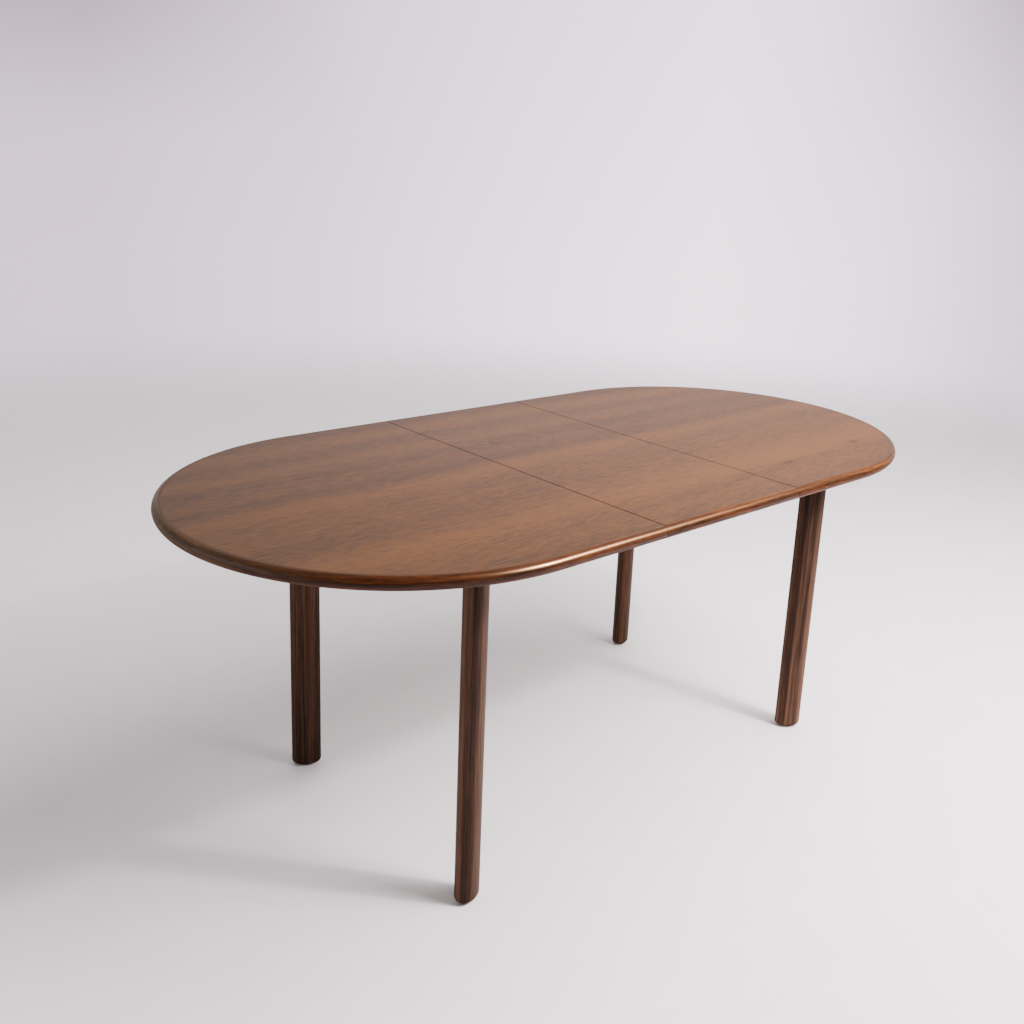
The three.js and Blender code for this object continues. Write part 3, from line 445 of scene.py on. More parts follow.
def metal(name, tones, roughness, metallic, mottle, worn, wear):
    """Plated or painted metal: mottled, with fine scratches along X, and rubbed through to the worn colour
    in spots, of which there are more with more wear."""
    graph = Graph(bpy.data.materials.new(name))
    space = grain_space(graph, "X")
    cloud = graph.remap(graph.noise(space, mottle, mottle, detail=4.0), *NOISE_SPAN)
    stains = graph.remap(graph.noise(space, 9, 9, detail=3.0, offset=(3.0, 5.0, 2.0)), 0.45, 0.75)
    scratches = graph.noise(space, 30, 2600, detail=3.0, roughness=0.7)
    rubbed = graph.noise(space, 90, 240, detail=5.0, roughness=0.7, offset=(1.0, 8.0, 4.0))
    rubbed = graph.remap(rubbed, 0.62 - wear, 0.68 - wear)
    colour = graph.ramp(cloud, ((0.0, tones[0]), (1.0, tones[1])))
    colour = graph.mix(colour, scaled(tones[0], 0.62), graph.maths("MULTIPLY", stains, 0.7))
    colour = graph.mix(colour, worn, graph.maths("MULTIPLY", rubbed, 0.6))
    rough = graph.maths("MULTIPLY_ADD", cloud, 0.12, roughness - 0.05)
    rough = graph.maths("ADD", rough, graph.remap(scratches, 0.35, 0.65, -0.03, 0.03))
    rough = graph.maths("MULTIPLY_ADD", stains, 0.12, rough)
    graph.set(Base_Color=colour, Metallic=metallic, Roughness=rough)
    graph.bump(graph.maths("MULTIPLY_ADD", rubbed, -0.4, scratches), distance=0.00004, strength=0.3)
    return graph.owner


def nylon():
    """Moulded black nylon with a fine spark-eroded skin."""
    graph = Graph(bpy.data.materials.new("nylon"))
    space = grain_space(graph, "X")
    skin = graph.noise(space, 2600, 2600, detail=2.0)
    cloud = graph.noise(space, 35, 35, detail=2.0)
    colour = graph.ramp(cloud, ((0.3, NYLON_TONES[0]), (0.7, NYLON_TONES[1])))
    graph.set(Base_Color=colour, Roughness=graph.remap(skin, *NOISE_SPAN, 0.5, 0.62))
    graph.bump(skin, distance=0.00005, strength=0.5)
    return graph.owner


MATERIALS = {
    "walnut_top": walnut("walnut_top", "X", TOP_TONES, TOP_ROUGHNESS, TOP_SHEEN, band_width=0.11,
                         figure=0.29, fineness=1.1, marks=VENEER_MARKS, layout=VENEER_BANDS),
    "walnut_edge": walnut("walnut_edge", "path", EDGE_TONES, roughness=0.45, sheen=0.0, band_width=0.05,
                          lacquer=0.25, fineness=0.6, layout=EDGE_LINES_AND_PAINTED_REFLECTION),
    "walnut_leg": walnut("walnut_leg", "Z", LEG_TONES, roughness=0.42, sheen=0.03, band_width=0.016,
                         figure=1.2, fineness=0.6, wander=0.2),
    "beech": beech(),
    "steel": metal("steel", STEEL_TONES, roughness=0.36, metallic=1.0, mottle=60,
                   worn=srgb(104, 98, 88), wear=0.02),
    "dark_steel": metal("dark_steel", BLACK_PAINT_TONES, roughness=0.5, metallic=0.0, mottle=140,
                        worn=srgb(92, 90, 88), wear=-0.04),
    "nylon": nylon(),
}
for apron, along in (("walnut_apron", "X"), ("walnut_cross_apron", "Y")):
    MATERIALS[apron] = walnut(apron, along, LEG_TONES, roughness=0.45, sheen=0.08, band_width=0.05,
                              figure=1.2)

# ---------------------------------------------------------------------------------------------
# Meshes
# ---------------------------------------------------------------------------------------------


def piece(name, points, faces, material, body, slot, smooth=True, **vectors):
    """A mesh piece of the table, in place, that rides on a body. vectors holds one for each of its points,
    by the name that its material reads them by."""
    mesh = bpy.data.meshes.new(name)
    mesh.from_pydata([tuple(p) for p in points], [], faces)
    mesh.materials.append(MATERIALS[material])
    mesh.polygons.foreach_set("use_smooth", [smooth] * len(mesh.polygons))
    for attribute_name, values in vectors.items():
        attribute = mesh.attributes.new(attribute_name, "FLOAT_VECTOR", "POINT")
        attribute.data.foreach_set("vector", [value for vector in values for value in vector])
    mesh.validate()
    made = bpy.data.objects.new(name, mesh)
    bpy.context.scene.collection.objects.link(made)
    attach(made, body)
    return made


def sharpen(made, degrees=35):
    """Keeps the edges between faces that meet at more than this angle crisp."""
    limit = math.radians(degrees)
    mesh = made.data
    mesh.update()
    faces_at = {}
    for polygon in mesh.polygons:
        for key in polygon.edge_keys:
            faces_at.setdefault(key, []).append(polygon.normal.copy())
    sharp = mesh.attributes.new("sharp_edge", "BOOLEAN", "EDGE")
    for edge in mesh.edges:
        normals = faces_at.get(tuple(sorted(edge.vertices)), [])
        sharp.data[edge.index].value = len(normals) != 2 or normals[0].angle(normals[1], 0) > limit
    return made


def full_turn(steps):
    """Angles at even steps round a circle."""
    return [2 * math.pi * i / steps for i in range(steps)]


def loft(rings):
    """Points and faces of a closed body through rings of points, which run counter-clockwise seen from
    the side that the rings advance to."""
    count = len(rings[0])
    points = [point for ring in rings for point in ring]
    faces = []
    for start in range(0, count * (len(rings) - 1), count):
        for i in range(count):
            j = (i + 1) % count
            faces.append((start + i, start + j, start + count + j, start + count + i))
    last = count * (len(rings) - 1)
    faces.append(tuple(reversed(range(count))))
    faces.append(tuple(range(last, last + count)))
    return points, faces


# Top ----------------------------------------------------------------------------------------

NOSE_STEPS = 28
END_STEPS = 160


def nose_section():
    """Bullnose section as (outwards, up) from the panel's edge and the underside, counter-clockwise."""
    flat = LIPPING_WIDTH - NOSE_RADIUS
    section = [(GLUE_LINE, 0.0)]
    for i in range(NOSE_STEPS + 1):
        angle = -math.pi / 2 + math.pi * i / NOSE_STEPS
        section.append((flat + NOSE_RADIUS * math.cos(angle), NOSE_RADIUS * (1 + math.sin(angle))))
    section.append((GLUE_LINE, 2 * NOSE_RADIUS))
    return section


def eased_path(stations):
    """The path with a station added just inside each end, where the arris of that end starts."""
    (x0, y0, facing0), (x1, y1, facing1) = stations[0], stations[-1]
    first = Vector((stations[1][0] - x0, stations[1][1] - y0)).normalized() * SEAM_ARRIS
    final = Vector((stations[-2][0] - x1, stations[-2][1] - y1)).normalized() * SEAM_ARRIS
    inner = [(x0 + first.x, y0 + first.y, facing0), *stations[1:-1], (x1 + final.x, y1 + final.y, facing1)]
    return [stations[0], *inner, stations[-1]]


LIPPINGS = bpy.data.collections.new("lippings")


def lipping(name, stations, body, node, start):
    """Half-round lipping along stations (x, y, facing) on the edge of a panel. The grain follows it down
    from start, in metres round the table."""
    section = nose_section()
    path = eased_path(stations)
    rings = []
    grain = []
    travelled = 0.0
    for index, (x, y, facing) in enumerate(path):
        if index:
            travelled += math.dist(path[index - 1][:2], (x, y))
        outwards = Vector((math.cos(facing), math.sin(facing), 0))
        base = Vector((x, y, UNDERSIDE_Z))
        at_end = index in (0, len(path) - 1)
        ring = []
        for out, up in section:
            if at_end:
                up = min(max(up, SEAM_ARRIS), 2 * NOSE_RADIUS - SEAM_ARRIS)
                out = min(out, LIPPING_WIDTH - SEAM_ARRIS)
            ring.append(base + outwards * out + Vector((0, 0, up)))
            grain.append((start - travelled, out, up))
        rings.append(ring)
    made = piece(name, *loft(rings), "walnut_edge", body, "walnut_edge", grain=grain)
    LIPPINGS.objects.link(made)
    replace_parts(made, node)
    return sharpen(made)


def end_stations(sign):
    """Stations along the edge of the end panel whose outward direction along X has this sign."""
    stations = []
    turn_start = -math.pi / 2 if sign < 0 else math.pi / 2
    across = -PANEL_HALF_WIDTH if sign < 0 else PANEL_HALF_WIDTH
    stations.append((sign * SEAM_X, across, turn_start))
    for i in range(END_STEPS + 1):
        facing = turn_start - math.pi * i / END_STEPS
        stations.append((
            sign * END_CENTRE_X + PANEL_HALF_WIDTH * math.cos(facing),
            PANEL_HALF_WIDTH * math.sin(facing),
            facing,
        ))
    stations.append((sign * SEAM_X, -across, -turn_start))
    return stations


def panel(name, outline, body, node):
    """Veneered panel from its plan outline of (x, y, inset at the arris), counter-clockwise."""
    levels = ((UNDERSIDE_Z, 1), (UNDERSIDE_Z + SEAM_ARRIS, 0), (TOP_Z - SEAM_ARRIS, 0), (TOP_Z, 1))
    rings = [[Vector((x + share * inset, y, z)) for x, y, inset in outline] for z, share in levels]
    made = piece(name, *loft(rings), "walnut_top", body, "walnut_top")
    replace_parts(made, node)
    return sharpen(made, degrees=20)


for end, sign in ENDS:
    stations = end_stations(sign)
    lipping(f"{end}_lipping_bullnose", stations, f"{end}_half", f"{end}_top_lipping",
            END_RUN + SEAM_X if sign > 0 else -SEAM_X)
    plan = [(x, y, sign * SEAM_ARRIS if index in (0, len(stations) - 1) else 0.0)
            for index, (x, y, _) in enumerate(stations)]
    panel(f"{end}_veneered_panel", list(reversed(plan)), f"{end}_half", f"{end}_top_panel")

for side_name, side in SIDES:
    facing = side * math.pi / 2
    run = [(-side * LEAF_EDGE_X, side * PANEL_HALF_WIDTH, facing),
           (side * LEAF_EDGE_X, side * PANEL_HALF_WIDTH, facing)]
    lipping(f"leaf_bullnose_{side_name}", run, "leaf", f"leaf_lipping_{side_name}",
            -END_RUN - SEAM_X if side > 0 else LEAF_EDGE_X)

leaf_plan = [(x * LEAF_EDGE_X, y * PANEL_HALF_WIDTH, -x * SEAM_ARRIS)
             for x, y in ((-1, -1), (1, -1), (1, 1), (-1, 1))]
panel("leaf_veneered_panel", leaf_plan, "leaf", "leaf_panel")

# Legs ---------------------------------------------------------------------------------------

OVAL_STEPS = 96
FOOT_STEPS = 10
LEG_LONG = 0.066
LEG_SHORT = 0.046
LEG_TURN = math.radians(30)
FOOT_ROUNDING = 0.010
LEG_TOP_ARRIS = 0.001
# How light each leg is made at its foot and at its top: its board's tone and painted light and shade.
LEG_BOARDS_AND_PAINTED_SHADE = {"near_left": (0.60, 1.60), "near_right": (1.10, 1.30),
          "far_left": (1.02, 1.54), "far_right": (1.52, 0.51)}


def leg(place, end_sign, side):
    """Straight oval leg with a rounded foot, its long axis turned towards the table's middle. Its
    board attribute says how light the wood is made at the height of each point, with
    painted light and shade in it."""
    node = f"leg_{place}"
    low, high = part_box(node)
    centre = (low + high) / 2
    turn = Matrix.Rotation(end_sign * side * LEG_TURN, 3, "Z")
    levels = []
    for i in range(FOOT_STEPS + 1):
        angle = math.pi / 2 * i / FOOT_STEPS
        levels.append((low.z + FOOT_ROUNDING * (1 - math.cos(angle)), FOOT_ROUNDING * (1 - math.sin(angle))))
    levels.append((high.z - LEG_TOP_ARRIS, 0.0))
    levels.append((high.z, LEG_TOP_ARRIS))
    rings = []
    for z, inset in levels:
        half_long, half_short = LEG_LONG / 2 - inset, LEG_SHORT / 2 - inset
        ring = [Vector((half_long * math.cos(angle), half_short * math.sin(angle), 0))
                for angle in full_turn(OVAL_STEPS)]
        rings.append([turn @ point + Vector((centre.x, centre.y, z)) for point in ring])
    foot, top = LEG_BOARDS_AND_PAINTED_SHADE[place]
    shades = [foot + (top - foot) * (z - low.z) / (high.z - low.z) for z, _ in levels]
    board = [(shade, shade, shade) for shade in shades for _ in range(OVAL_STEPS)]
    made = piece(f"{node}_oval", *loft(rings), "walnut_leg", "frame", "walnut_leg", board=board)
    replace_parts(made, node)
    return sharpen(made)


for end, end_sign in ENDS:
    for side_name, side in SIDES:
        leg(f"{end}_{side_name}", end_sign, side)

# Fasteners ----------------------------------------------------------------------------------

HEAD_RADIUS = 0.0039
HEAD_HEIGHT = 0.0023
FLUSH_RISE = 0.00015                        # a countersunk head stands this far out of the rail
SHANK_RADIUS = 0.0020
SHANK_LENGTH = 0.0040
RECESS_HALF_WIDTH = 0.00045
RECESS_REACH = 0.0018
RECESS_DEPTH = 0.0013
RECESS_TAPER = 0.6                          # size of its floor, as a share of its mouth
FIRST_SCREW_TURN = 0.7                      # these two in radians
SCREW_TURN_STEP = 1.9


def recess_outline():
    """Outline of a cross recess, counter-clockwise, with six points in each quarter."""
    w, reach = RECESS_HALF_WIDTH, RECESS_REACH
    quarter = ((reach, 0), (reach, w), ((reach + w) / 2, w), (w, w), (w, (reach + w) / 2), (w, reach))
    points = []
    for turn in range(4):
        for x, y in quarter:
            for _ in range(turn):
                x, y = -y, x
            points.append(Vector((x, y, 0)))
    return points


def screw_rings(profile):
    """Rings of a screw that stands out of the plane z = 0, from its (radius, height) profile."""
    outline = recess_outline()
    rings = [[point.normalized() * radius + Vector((0, 0, z)) for point in outline] for radius, z in profile]
    top = profile[-1][1]
    rings.append([point + Vector((0, 0, top)) for point in outline])
    rings.append([point * RECESS_TAPER + Vector((0, 0, top - RECESS_DEPTH)) for point in outline])
    return rings


# Profiles of screws, as (radius, height over the face that they stand in).
PAN_HEAD = [(0.3 * SHANK_RADIUS, -SHANK_LENGTH), (SHANK_RADIUS, -0.7 * SHANK_LENGTH), (SHANK_RADIUS, 0.0),
            (HEAD_RADIUS, 0.0), (HEAD_RADIUS, 0.45 * HEAD_HEIGHT), (0.95 * HEAD_RADIUS, 0.68 * HEAD_HEIGHT),
            (0.82 * HEAD_RADIUS, 0.87 * HEAD_HEIGHT), (0.65 * HEAD_RADIUS, HEAD_HEIGHT)]
FLUSH_HEAD = [(0.3 * SHANK_RADIUS, -SHANK_LENGTH), (SHANK_RADIUS, -0.7 * SHANK_LENGTH),
              (SHANK_RADIUS, SHANK_RADIUS - HEAD_RADIUS), (0.97 * HEAD_RADIUS, 0.0),
              (HEAD_RADIUS, 0.5 * FLUSH_RISE), (0.97 * HEAD_RADIUS, FLUSH_RISE)]


def tube(rings):
    """Points and faces of a ring-shaped body, whose last ring of points meets the first."""
    count = len(rings[0])
    points = [point for ring in rings for point in ring]
    faces = []
    for index in range(len(rings)):
        start, onward = index * count, (index + 1) % len(rings) * count
        for i in range(count):
            j = (i + 1) % count
            faces.append((start + i, start + j, onward + j, onward + i))
    return points, faces


def set_in_place(shape, origin, direction, turn=0.0):
    """The shape with its z axis along direction, turned about it, and its own origin at this one."""
    points, faces = shape
    aim = Vector(direction).to_track_quat("Z", "Y").to_matrix() @ Matrix.Rotation(turn, 3, "Z")
    return [aim @ point + Vector(origin) for point in points], faces


def screws(name, places, direction, body, profile=PAN_HEAD):
    """Screws at places, each turned to where the driver left it, as one piece."""
    points = []
    faces = []
    for index, place in enumerate(places):
        turn = FIRST_SCREW_TURN + SCREW_TURN_STEP * index
        own_points, own_faces = set_in_place(loft(screw_rings(profile)), place, direction, turn)
        faces += [tuple(corner + len(points) for corner in face) for face in own_faces]
        points += own_points
    return sharpen(piece(name, points, faces, "steel", body, "steel"))


def spread(count, start, stop):
    """Even steps from start to stop, both included."""
    return [start + (stop - start) * i / (count - 1) for i in range(count)]


BRACKET_THICKNESS = 0.0025
BRACKET_HOLE_INSET = 0.0175                 # from the tip of the flange
BRACKET_HOLE_HEIGHTS = (0.25, 0.75)         # as shares of the bracket's height
RAIL_WALL = 0.002
RAIL_SCREWS = 5
RAIL_SCREW_INSET = 0.020
RUNNER_FLANGE = 0.003
RUNNER_SCREWS = 3
RUNNER_SCREW_INSET = 0.024
RUNNER_SCREW_OFF = 0.026                    # from the back of the runner's head
PLATE_THICKNESS = 0.003
PLATE_SCREWS = (0.095, 0.0135)              # from the plate's middle
BATTEN_SCREWS = 4
BATTEN_SCREW_INSET = 0.040
COUNTERBORE_DEPTH = 0.007

for end, end_sign in ENDS:
    for side_name, side in SIDES:
        place = f"{end}_{side_name}"
        low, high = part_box(f"corner_bracket_{place}")
        tip = Vector((low.x if end_sign > 0 else high.x, low.y if side > 0 else high.y, 0))
        face = Vector((high.x if end_sign > 0 else low.x, high.y if side > 0 else low.y, 0))
        heights = [low.z + (high.z - low.z) * share for share in BRACKET_HOLE_HEIGHTS]
        x, y = tip.x + end_sign * BRACKET_HOLE_INSET, face.y - side * BRACKET_THICKNESS
        screws(f"bracket_side_screws_{place}", [(x, y, z) for z in heights], (0, -side, 0), "frame")
        x, y = face.x - end_sign * BRACKET_THICKNESS, tip.y + side * BRACKET_HOLE_INSET
        screws(f"bracket_end_screws_{place}", [(x, y, z) for z in heights], (-end_sign, 0, 0), "frame")

        low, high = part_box(f"runner_{place}")
        back = high.y if side > 0 else low.y
        screws(f"runner_screws_{place}",
               [(x, back - side * RUNNER_SCREW_OFF, high.z - RUNNER_FLANGE)
                for x in spread(RUNNER_SCREWS, low.x + RUNNER_SCREW_INSET, high.x - RUNNER_SCREW_INSET)],
               (0, 0, -1), f"{end}_half")

    low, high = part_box(f"leaf_batten_{end}")
    screws(f"batten_screws_{end}",
           [((low.x + high.x) / 2, y, low.z + COUNTERBORE_DEPTH)
            for y in spread(BATTEN_SCREWS, low.y + BATTEN_SCREW_INSET, high.y - BATTEN_SCREW_INSET)],
           (0, 0, -1), "leaf")

for side_name, side in SIDES:
    low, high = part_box(f"{side_name}_slide_rail")
    web = (high.y if side > 0 else low.y) - side * RAIL_WALL
    screws(f"rail_screws_{side_name}",
           [(x, web, (low.z + high.z) / 2)
            for x in spread(RAIL_SCREWS, low.x + RAIL_SCREW_INSET, high.x - RAIL_SCREW_INSET)],
           (0, -side, 0), "frame", FLUSH_HEAD)

low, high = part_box("gear_plate")
screws("gear_plate_screws",
       [(x * PLATE_SCREWS[0], y * PLATE_SCREWS[1], low.z + PLATE_THICKNESS)
        for x in (-1, 1) for y in (-1, 1)],
       (0, 0, 1), "frame")

THREAD_PITCH = 0.00125
THREAD_RADII = (0.00335, 0.00395)
THREAD_TURN_STEPS = 18
THREAD_PITCH_STEPS = 6
THREAD_RUN_OUT = 0.3                        # share of the thread's depth that is left at its end
BOLT_START = 0.0033                         # these four from the leg's axis
BOLT_LEAVES_LEG = 0.033
BOLT_END = 0.0603
NUT_START = 0.0478
BOLT_POINT_LENGTH = 0.005
BOLT_POINT_SHARE = 0.2                      # radius of its point, as a share of the bolt's
BOLT_END_CHAMFER = 0.0005
NUT_HEIGHT = 0.0065
NUT_HALF_ACROSS = 0.0065
NUT_BORE_RADIUS = 0.0041
NUT_BORE_CHAMFER = 0.0004
NUT_FACE_RADIUS = 0.0063
NUT_CHAMFER_SLOPE = 1.73                    # of 30 degrees to its faces
NUT_CHAMFER_DEPTHS = (0.0, 0.0002, 0.00045, 0.0007)
NUT_STEPS = 48
NUT_TURN = 0.35                             # in radians


def threaded_bolt():
    """Hanger bolt along z from the leg's axis, with its machine thread outside the leg."""
    root, crest = THREAD_RADII
    rings = []

    def ring(z, radius_at):
        shares = [i / THREAD_TURN_STEPS for i in range(THREAD_TURN_STEPS)]
        radii = [radius_at(share) for share in shares]
        rings.append([Vector((r * math.cos(2 * math.pi * share), r * math.sin(2 * math.pi * share), z))
                      for r, share in zip(radii, shares)])

    ring(BOLT_START, lambda share: BOLT_POINT_SHARE * crest)
    ring(BOLT_START + BOLT_POINT_LENGTH, lambda share: crest)
    ring(BOLT_LEAVES_LEG - THREAD_PITCH, lambda share: crest)
    count = int((BOLT_END - BOLT_LEAVES_LEG) / THREAD_PITCH * THREAD_PITCH_STEPS)
    for i in range(count):
        z = BOLT_LEAVES_LEG + i * THREAD_PITCH / THREAD_PITCH_STEPS
        depth = (crest - root) * min(1.0, (BOLT_END - z) / THREAD_PITCH + THREAD_RUN_OUT)
        ring(z, lambda share: root + depth * (1 - abs(2 * ((z / THREAD_PITCH - share) % 1) - 1)))
    ring(BOLT_END, lambda share: root - BOLT_END_CHAMFER)
    return loft(rings)


def hexagon_nut():
    """Chamfered nut along z from its seat."""
    turns = full_turn(NUT_STEPS)

    def ring(radii, z):
        return [Vector((radius * math.cos(turn), radius * math.sin(turn), z))
                for radius, turn in zip(radii, turns)]

    def outside(depth, z):
        limit = NUT_FACE_RADIUS + NUT_CHAMFER_SLOPE * depth
        return ring([min(limit, NUT_HALF_ACROSS / math.cos(turn % (math.pi / 3) - math.pi / 6))
                     for turn in turns], z)

    def bore(widening, z):
        return ring([NUT_BORE_RADIUS + widening] * NUT_STEPS, z)

    rings = [bore(NUT_BORE_CHAMFER, 0.0)]
    rings += [outside(depth, depth) for depth in NUT_CHAMFER_DEPTHS]
    rings += [outside(depth, NUT_HEIGHT - depth) for depth in reversed(NUT_CHAMFER_DEPTHS)]
    rings += [bore(NUT_BORE_CHAMFER, NUT_HEIGHT), bore(0.0, NUT_HEIGHT - NUT_BORE_CHAMFER),
              bore(0.0, NUT_BORE_CHAMFER)]
    return tube(rings)


for end, end_sign in ENDS:
    for side_name, side in SIDES:
        place = f"{end}_{side_name}"
        low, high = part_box(f"leg_{place}")
        inwards = Vector((-end_sign * math.cos(LEG_TURN), -side * math.sin(LEG_TURN), 0))
        low_bolt, high_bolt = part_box(f"hanger_bolt_{place}")
        axis = Vector(((low.x + high.x) / 2, (low.y + high.y) / 2, (low_bolt.z + high_bolt.z) / 2))
        shape = set_in_place(threaded_bolt(), axis, inwards)
        bolt = piece(f"hanger_bolt_threaded_{place}", *shape, "steel", "frame", "steel", smooth=False)
        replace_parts(bolt, f"hanger_bolt_{place}")
        shape = set_in_place(hexagon_nut(), axis + inwards * NUT_START, inwards, NUT_TURN)
        nut = piece(f"nut_chamfered_{place}", *shape, "steel", "frame", "steel")
        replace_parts(sharpen(nut, degrees=20), f"bolt_nut_{place}")

# Carried-over hardware and frame --------------------------------------------------------------

# Folded, sawn and moulded edges that the frame leaves sharp, in metres: the radius of each.
EASED_EDGES = {"steel": 0.0003, "dark_steel": 0.0005, "nylon": 0.0003, "beech": 0.0012,
               "walnut_leg": 0.0012}
EASING_SEGMENTS = 2
EASING_ANGLE = math.radians(40)             # edges that turn by less are left alone
WELD_DISTANCE = 0.00001

SLOT_MATERIALS = {part["node"]: part["material_slot"] for part in frame["record"]["subparts"]}
for node, made in frame["nodes"].items():
    slot = SLOT_MATERIALS[node]
    finish = slot
    if node.endswith("side_apron"):
        finish = "walnut_apron"
    elif node.endswith("end_apron"):
        finish = "walnut_cross_apron"
    made.data.materials.clear()
    made.data.materials.append(MATERIALS[finish])
    if slot in EASED_EDGES and not made.hide_render:
        made.modifiers.new("weld", "WELD").merge_threshold = WELD_DISTANCE
        bevel = made.modifiers.new("eased_edges", "BEVEL")
        bevel.width = EASED_EDGES[slot]
        bevel.segments = EASING_SEGMENTS
        bevel.limit_method = "ANGLE"
        bevel.angle_limit = EASING_ANGLE

# ---------------------------------------------------------------------------------------------
# Stage, light and camera
# ---------------------------------------------------------------------------------------------

FLOOR_RADIUS = 12.0
FLOOR_STEPS = 96
FLOOR_ROUGHNESS = 0.62
FLOOR_IOR = 1.35
FLOOR_FADE = (2.6, 6.5)                     # where the floor starts and ends its fade into the backdrop
STUDIO_STRENGTH = 3.0
STUDIO_TURN = 41                            # degrees from +X towards +Y, where most of its light comes from
# Light from the surroundings, by how far a direction turns towards there, from 0 to 1.
STUDIO_LIGHT = ((0.0, 0.09), (0.5, 0.09), (0.78, 0.36), (0.90, 0.70), (0.97, 1.02), (1.0, 1.15))
# Brightness of the wall that the camera sees, by the direction in degrees from +X.
WALL_SIDES = ((12, 0.50), (24, 0.58), (31, 0.84), (39, 1.0), (49, 0.82), (60, 0.60), (70, 0.48), (80, 0.46))
WALL_TINT = (1.04, 0.85, 0.99)
LIGHT_TARGET = (0.0, 0.0, 0.4)
STUDIO_COLOUR = (1.0, 0.97, 0.985)
GLEAM_COLOUR = (1.0, 0.50, 0.26)
FILL = 1.7                                  # light from a low wall to the left, as a share of the studio's
FILL_AZIMUTH = math.radians(150)
FILL_SIDES = (0.4, 0.9, 1.0, 0.0)           # by the distance from its azimuth, in radians
FILL_HEIGHTS = (0.18, 0.34, FILL, 0.0)      # this one and the next by the Z of the direction
WALL_HEIGHTS = (-0.1, 0.25, 1.0, 0.80)
CORNER_AZIMUTH = 0.80                       # in radians, like the sides that are next
CORNER_SIDES = (0.20, 0.42, 0.0, 1.0)       # away from here the wall darkens upwards
CORNER_HEIGHTS = (0.0, 0.14, 0.0, 1.0)
CORNER_DEPTH = 0.45

KEY_PLACE = (0.958, -2.101, 2.383)
# Lights over the table, as (name, place, width and height, power in watts). The gleams show only as
# reflections in the lacquered lippings.
SOFTBOXES = (("key_core", KEY_PLACE, (0.20, 0.20), 70), ("key", KEY_PLACE, (1.29, 1.29), 155),
             ("side", (1.486, -1.162, 2.904), (3.48, 3.48), 256))
GLEAMS = (("gleam", (0.98, -2.12, 2.38), (0.6, 0.32), 2850),
          ("gleam_along", (1.75, -1.92, 2.30), (1.2, 0.55), 115))

CAMERA_PLACE = (-1.6604, -1.6984, 1.4132)
CAMERA_FORWARD = (0.6741, 0.6932, -0.2553)
CAMERA_RIGHT = (0.7256, -0.6861, 0.0530)
CAMERA_UP = (0.1384, 0.2209, 0.9654)
CAMERA_SENSOR = 36.0                        # this one and the next in millimetres
CAMERA_LENS = 37.53
CAMERA_SHIFT = (-0.0603, -0.0738)


def floor():
    """Pale floor that fades into the backdrop, and that is clear from below."""
    mesh = bpy.data.meshes.new("studio_floor")
    turns = full_turn(FLOOR_STEPS)
    points = [(FLOOR_RADIUS * math.cos(turn), FLOOR_RADIUS * math.sin(turn), 0) for turn in turns]
    mesh.from_pydata(points, [], [tuple(range(FLOOR_STEPS))])

    graph = Graph(bpy.data.materials.new("studio_floor"))
    place = graph.add("ShaderNodeTexCoord").outputs["Object"]
    distance = graph.add("ShaderNodeVectorMath", {0: place}, operation="LENGTH").outputs["Value"]
    faded = graph.add("ShaderNodeMapRange", {"Value": distance, "From Min": FLOOR_FADE[0],
                                             "From Max": FLOOR_FADE[1]}, interpolation_type="SMOOTHSTEP")
    below = graph.add("ShaderNodeNewGeometry").outputs["Backfacing"]
    clear = graph.maths("MAXIMUM", faded.outputs[0], below)
    scuffs = graph.noise(place, 9, 9, detail=6.0, roughness=0.65)
    colour = graph.ramp(scuffs, ((0.35, FLOOR_TONES[0]), (0.65, FLOOR_TONES[1])))
    graph.set(Base_Color=colour, Roughness=FLOOR_ROUGHNESS, IOR=FLOOR_IOR,
              Alpha=graph.maths("SUBTRACT", 1.0, clear))
    mesh.materials.append(graph.owner)
    made = bpy.data.objects.new("studio_floor", mesh)
    bpy.context.scene.collection.objects.link(made)


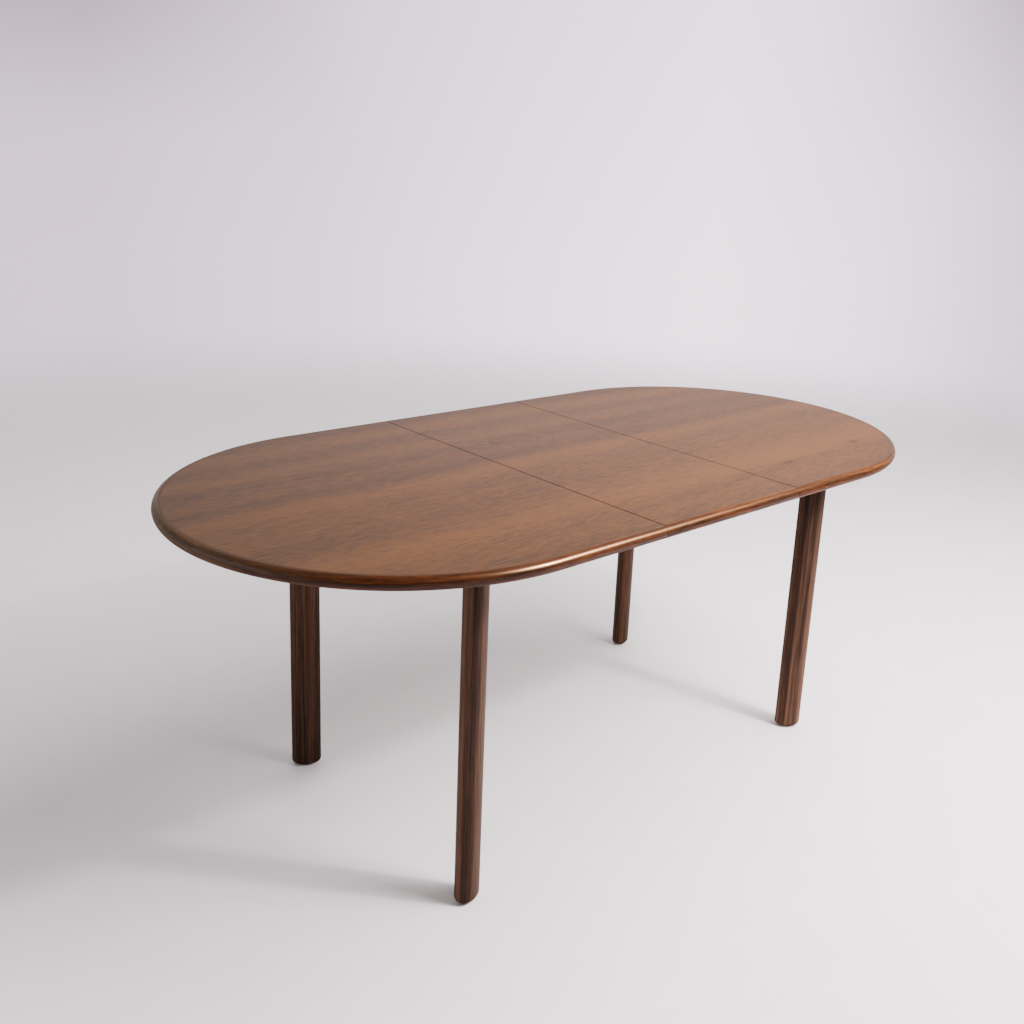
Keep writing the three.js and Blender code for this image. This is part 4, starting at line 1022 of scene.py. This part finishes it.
def surroundings():
    """A plain studio. Its light on the table is strongest from behind, and what the camera sees is a pale
    wall, a little darker to the sides and upwards."""
    graph = Graph(bpy.data.worlds.new("studio"), "Background")
    direction = graph.add("ShaderNodeTexCoord").outputs["Generated"]
    x, y, z = graph.split(direction)

    turn = math.radians(STUDIO_TURN)
    brightest = (math.cos(turn), math.sin(turn), 0.0)
    towards = graph.add("ShaderNodeVectorMath", {0: direction, 1: brightest}, operation="DOT_PRODUCT")
    towards = graph.remap(towards.outputs["Value"], -1, 1)
    light = graph.ramp(towards, tuple((at, scaled(WHITE, value)) for at, value in STUDIO_LIGHT))

    azimuth = graph.maths("ARCTAN2", y, x)
    aside = graph.maths("ABSOLUTE", graph.maths("SUBTRACT", azimuth, FILL_AZIMUTH))
    low = graph.remap(graph.maths("ABSOLUTE", z), *FILL_HEIGHTS)
    fill = graph.maths("MULTIPLY", graph.remap(aside, *FILL_SIDES), low)
    light = graph.mix(light, fill, 1.0, "ADD")

    wall = graph.remap(azimuth, 0.0, math.pi / 2)
    wall = graph.ramp(wall, tuple((at / 90, scaled(WALL_TINT, value)) for at, value in WALL_SIDES))
    aside = graph.maths("ABSOLUTE", graph.maths("SUBTRACT", azimuth, CORNER_AZIMUTH))
    corner = graph.maths("MULTIPLY", graph.remap(aside, *CORNER_SIDES), graph.remap(z, *CORNER_HEIGHTS))
    shade = graph.maths("MULTIPLY_ADD", corner, -CORNER_DEPTH, graph.remap(z, *WALL_HEIGHTS))
    wall = graph.mix(scaled(WHITE, 0.0), wall, shade)

    seen = graph.add("ShaderNodeLightPath").outputs["Is Camera Ray"]
    graph.set(Color=graph.mix(light, wall, seen), Strength=STUDIO_STRENGTH)
    bpy.context.scene.world = graph.owner


def softbox(name, place, size, power, glossy=False):
    """Oval soft light over the table, out of the picture. It lights the scene, or if it is glossy it shows
    only as a warm reflection in the lacquered lippings."""
    data = bpy.data.lights.new(name, "AREA")
    data.shape = "ELLIPSE"
    data.size, data.size_y = size
    data.energy = power
    data.color = GLEAM_COLOUR if glossy else STUDIO_COLOUR
    made = bpy.data.objects.new(name, data)
    made.location = place
    made.rotation_mode = "QUATERNION"
    made.rotation_quaternion = (Vector(LIGHT_TARGET) - Vector(place)).to_track_quat("-Z", "Y")
    made.visible_camera = False
    made.visible_glossy = glossy
    made.visible_diffuse = not glossy
    if glossy:
        made.light_linking.receiver_collection = LIPPINGS
    bpy.context.scene.collection.objects.link(made)


def camera():
    """The view of the photo, which was solved together with the table's sizes."""
    data = bpy.data.cameras.new("camera")
    data.sensor_width = CAMERA_SENSOR
    data.lens = CAMERA_LENS
    data.shift_x, data.shift_y = CAMERA_SHIFT
    made = bpy.data.objects.new("camera", data)
    bpy.context.scene.collection.objects.link(made)
    axes = Matrix((CAMERA_RIGHT, CAMERA_UP, -Vector(CAMERA_FORWARD))).transposed()
    made.matrix_world = Matrix.Translation(CAMERA_PLACE) @ axes.to_4x4()
    bpy.context.scene.camera = made


floor()
surroundings()
for light in SOFTBOXES:
    softbox(*light)
for light in GLEAMS:
    softbox(*light, glossy=True)
camera()
